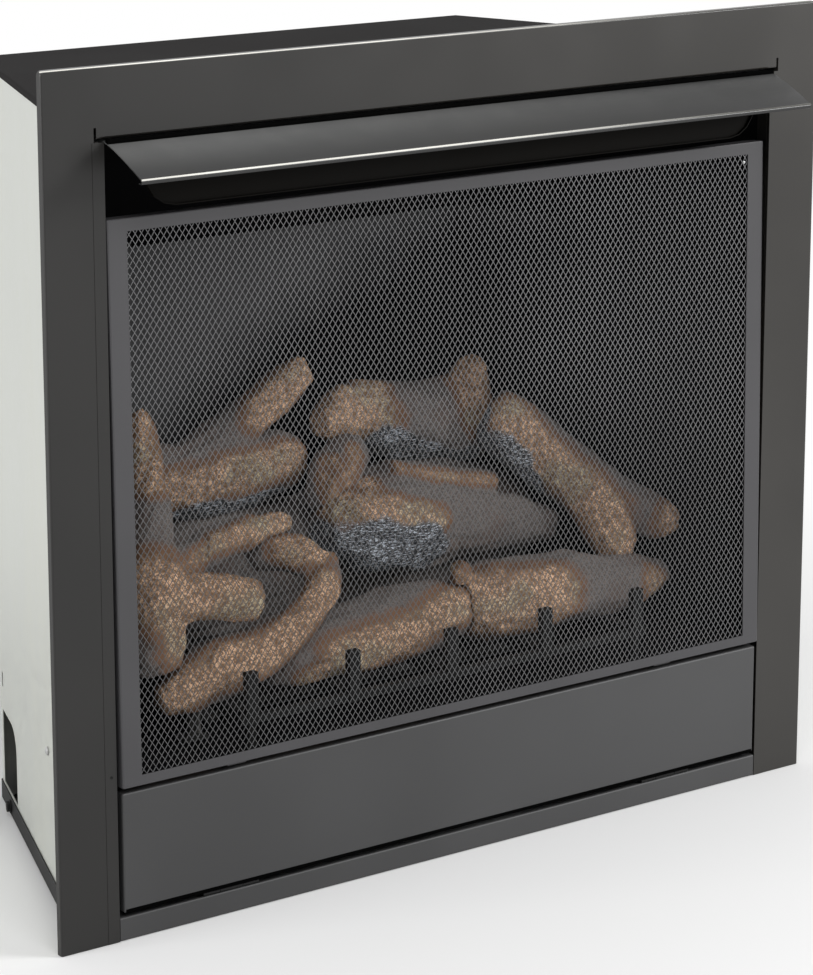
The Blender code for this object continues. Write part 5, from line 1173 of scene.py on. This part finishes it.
@dataclass
class Controls(Assembly):
    """The gas line, valve, knob, igniter, burner and pilot."""

    knob_radius: float = 0.0193
    grip_radius: float = 0.0152
    skirt: float = 0.005
    height: float = 0.0212
    flutes: int = 16
    flute_depth: float = 0.0011
    steps: int = 192
    pointer_width: float = 0.0058
    pointer_rise: float = 0.003
    pointer_edge: float = 0.0012
    index_width: float = 0.0012
    index_proud: float = 0.0002
    index_inset: float = 0.0010
    sink: float = 0.001

    def knob_profile(self) -> list[tuple[float, float, float]]:
        """List the knob's turned outline, from the plate to its front.

        Returns:
            Radius, height and share of fluting of each ring.
        """
        rim, grip, skirt, top = self.knob_radius, self.grip_radius, self.skirt, self.height
        return [(rim - 0.0006, 0.0, 0.0), (rim, 0.0006, 0.0), (rim, skirt * 0.5, 0.0),
                (rim - 0.0008, skirt * 0.72, 0.0), (grip + 0.0008, skirt, 0.0), (grip, skirt + 0.0010, 0.6),
                (grip, skirt + 0.0030, 1.0), (grip - 0.0002, top - 0.0024, 1.0),
                (grip - 0.0008, top - 0.0008, 0.6), (grip - 0.0022, top, 0.0)]

    def knob_mesh(self) -> Mesh:
        """Turn the fluted knob, with its back plane at the origin.

        Returns:
            The mesh.
        """
        bm = bmesh.new()
        rings = []
        for radius, level, share in self.knob_profile():
            ring = []
            for step in range(self.steps):
                turn = 2 * math.pi * step / self.steps
                reach = radius - self.flute_depth * share * (0.5 + 0.5 * math.cos(turn * self.flutes)) ** 2
                ring.append(bm.verts.new((reach * math.cos(turn), -level, reach * math.sin(turn))))
            rings.append(ring)
        for lower, upper in zip(rings, rings[1:]):
            for step in range(self.steps):
                after = (step + 1) % self.steps
                bm.faces.new((lower[step], lower[after], upper[after], upper[step]))
        for ring, level in ((rings[0], 0.0), (rings[-1], -self.height)):
            hub = bm.verts.new((0, level, 0))
            for step in range(self.steps):
                bm.faces.new((hub, ring[step], ring[(step + 1) % self.steps]))
        bmesh.ops.recalc_face_normals(bm, faces=bm.faces[:])
        for face in bm.faces:
            face.smooth = True
        return finished_mesh("fluted_knob", bm)

    def bar(self, name: str, centre: Point, width: float, rise: float, reach: float, bevel: float = 0.0) -> Mesh:
        """Return an upright bar on the knob's front.

        Args:
            name: a name for the mesh.
            centre: the knob's centre on its back plane.
            width: the bar's width.
            rise: how far it stands out of the knob's front.
            reach: how far it reaches up from the centre.
            bevel: how far its edges are rounded.

        Returns:
            The mesh.
        """
        front = centre[1] - self.height
        return block_mesh(name, (centre[0] - width / 2, front - rise, centre[2]),
                          (centre[0] + width / 2, front + self.sink, centre[2] + reach), bevel)

    def knob(self) -> None:
        """Put the fluted knob in place, with its pointer ridge and index line."""
        low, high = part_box("control_knob")
        centre = ((low[0] + high[0]) / 2, high[1], (low[2] + high[2]) / 2)
        mesh = self.knob_mesh()
        mesh.transform(Matrix.Translation(centre))
        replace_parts(self.add("fluted_knob", mesh, "plastic", Body.KNOB), "control_knob")
        reach = self.grip_radius - self.pointer_width / 2
        ridge = self.bar("knob_pointer", centre, self.pointer_width, self.pointer_rise, reach, self.pointer_edge)
        self.add("knob_pointer", ridge, "plastic", Body.KNOB)
        line = self.bar("knob_index", centre, self.index_width, self.pointer_rise + self.index_proud,
                        reach - self.index_inset)
        self.add("knob_index", line, "mark", Body.KNOB)

    def build(self) -> None:
        """Dress the controls."""
        self.dress({
            "zinc": "control_plate inlet_bracket", "valve": "gas_valve pressure_regulator",
            "pipe": "inlet_pipe supply_pipe burner_feed_pipe", "brass": "inlet_fitting",
            "burner": "burner_front burner_rear burner_manifold burner_cradle_left burner_cradle_right",
            "pilot": "pilot_assembly pilot_tube", "plastic": "igniter_body", "red": "igniter_button",
            "deep": "hinge_fixed_leaf_left hinge_fixed_leaf_right hinge_door_leaf_left hinge_door_leaf_right",
            "white": "pilot_electrode", "grate": "grate"})
        self.knob()
        LOG.info("controls dressed")


@dataclass(frozen=True)
class Lamp:
    """A soft rectangular lamp: where it hangs, its width and height in metres, and its power in watts."""

    name: str
    place: Point
    size: tuple[float, float]
    power: float


@dataclass
class Studio:
    """Floor, soft lights, pale surroundings and the camera of the photograph."""

    camera_place: Point = local(-1.7945, -2.4228, 1.1668)
    yaw: float = 35.593
    pitch: float = 12.935
    focal_pixels: float = 3340.6
    image_height: float = 975.0
    shift: float = -0.1205
    sensor: float = 36.0
    reach: float = 200.0
    target: Point = local(0.0, 0.1, 0.38)
    lamps: tuple[Lamp, ...] = (Lamp("overhead_softbox", local(-1.0, -1.9, 2.6), (1.8, 1.0), 32.0),
                               Lamp("right_softbox", local(2.0, -1.8, 1.6), (1.1, 0.9), 56.0),
                               Lamp("left_softbox", local(-3.0, 0.35, 1.2), (1.2, 1.6), 30.0))
    ambient: float = 0.45
    floor_size: float = 30.0
    floor_drop: float = 0.0005
    floor_colour: Colour = (0.88, 0.88, 0.88)
    floor_roughness: float = 0.9
    floor_specular: float = 0.1
    fade: tuple[float, float] = (0.45, 1.5)

    def camera(self) -> None:
        """Place the camera at the photograph's angle."""
        data = bpy.data.cameras.new("studio_camera")
        data.sensor_width = self.sensor
        data.lens = self.focal_pixels * self.sensor / self.image_height
        data.shift_y = self.shift
        data.clip_end = self.reach
        camera = bpy.data.objects.new("studio_camera", data)
        camera.location = self.camera_place
        camera.rotation_euler = (math.radians(90 - self.pitch), 0.0, math.radians(-self.yaw))
        bpy.context.scene.collection.objects.link(camera)
        bpy.context.scene.camera = camera

    def light(self, lamp: Lamp) -> None:
        """Hang a lamp so that it faces the insert.

        Args:
            lamp: the lamp.
        """
        data = bpy.data.lights.new(lamp.name, "AREA")
        data.shape = "RECTANGLE"
        data.size, data.size_y = lamp.size
        data.energy = lamp.power
        obj = bpy.data.objects.new(lamp.name, data)
        obj.location = lamp.place
        obj.rotation_euler = (Vector(self.target) - Vector(lamp.place)).to_track_quat("-Z", "Y").to_euler()
        bpy.context.scene.collection.objects.link(obj)

    @staticmethod
    def seen(tree: Tree) -> Socket:
        """Tell what the camera sees, directly, in a reflection or through something, from what only gives light.

        Args:
            tree: the tree that needs to know.

        Returns:
            The socket that gives 1 for what is seen and 0 for the rest.
        """
        path = tree.node("ShaderNodeLightPath").outputs
        seen = tree.plus(path["Is Camera Ray"], path["Is Glossy Ray"])
        return tree.plus(seen, path["Is Transmission Ray"], clamp=True)

    def surroundings(self) -> None:
        """Light the set evenly and show white behind it."""
        world = bpy.data.worlds.new("studio")
        world.use_nodes = True
        tree = Tree(world.node_tree)
        world.node_tree.nodes.clear()
        ambient, white = (tree.node("ShaderNodeBackground", Color=(1, 1, 1, 1), Strength=strength).outputs[0]
                          for strength in (self.ambient, 1.0))
        blend = tree.node("ShaderNodeMixShader", _0=self.seen(tree), _1=ambient, _2=white)
        tree.node("ShaderNodeOutputWorld", Surface=blend.outputs[0])
        bpy.context.scene.world = world

    def floor(self) -> None:
        """Lay a pale floor that fades into the white background away from the object."""
        mesh = bpy.data.meshes.new("floor")
        half = self.floor_size / 2
        mesh.from_pydata([(-half, -half, 0), (half, -half, 0), (half, half, 0), (-half, half, 0)], [], [(0, 1, 2, 3)])
        material, tree, shader = new_material("pale_floor", self.floor_colour)
        tree.feed(shader, Base_Color=(*self.floor_colour, 1.0), Roughness=self.floor_roughness,
                  Specular_IOR_Level=self.floor_specular)
        distance = tree.node("ShaderNodeVectorMath", {"operation": "LENGTH"}, _0=tree.place()).outputs["Value"]
        white = tree.node("ShaderNodeEmission", Color=(1, 1, 1, 1), Strength=1.0)
        blend = tree.node("ShaderNodeMixShader", _0=tree.times(tree.ramp(distance, *self.fade), self.seen(tree)),
                          _1=shader.outputs[0], _2=white.outputs[0])
        tree.feed(material.node_tree.nodes["Material Output"], _0=blend.outputs[0])
        floor = mesh_object("floor", mesh, material)
        floor.location.z = -self.floor_drop

    def build(self) -> None:
        """Set up floor, lights, surroundings and camera."""
        self.camera()
        self.surroundings()
        self.floor()
        for lamp in self.lamps:
            self.light(lamp)
        bpy.context.scene.view_settings.view_transform = "Standard"
        LOG.info("studio ready")


def main() -> None:
    """Build the insert's looks."""
    logging.basicConfig(level=logging.INFO, format="%(name)s: %(message)s")
    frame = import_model()
    nodes = frame["nodes"]
    Studio().build()
    finishes = Finishes()
    Casing(nodes, finishes).build()
    Controls(nodes, finishes).build()
    heads = Fasteners(nodes, finishes)
    heads.build()
    screen = ExpandedScreen(nodes, finishes)
    screen.build()
    heads.place("net_rivet", HeadShape.RIVET, "steel", [screen.corner()], Body.SCREEN)
    LogSet(nodes, finishes).build()


if __name__ == "__main__":
    main()
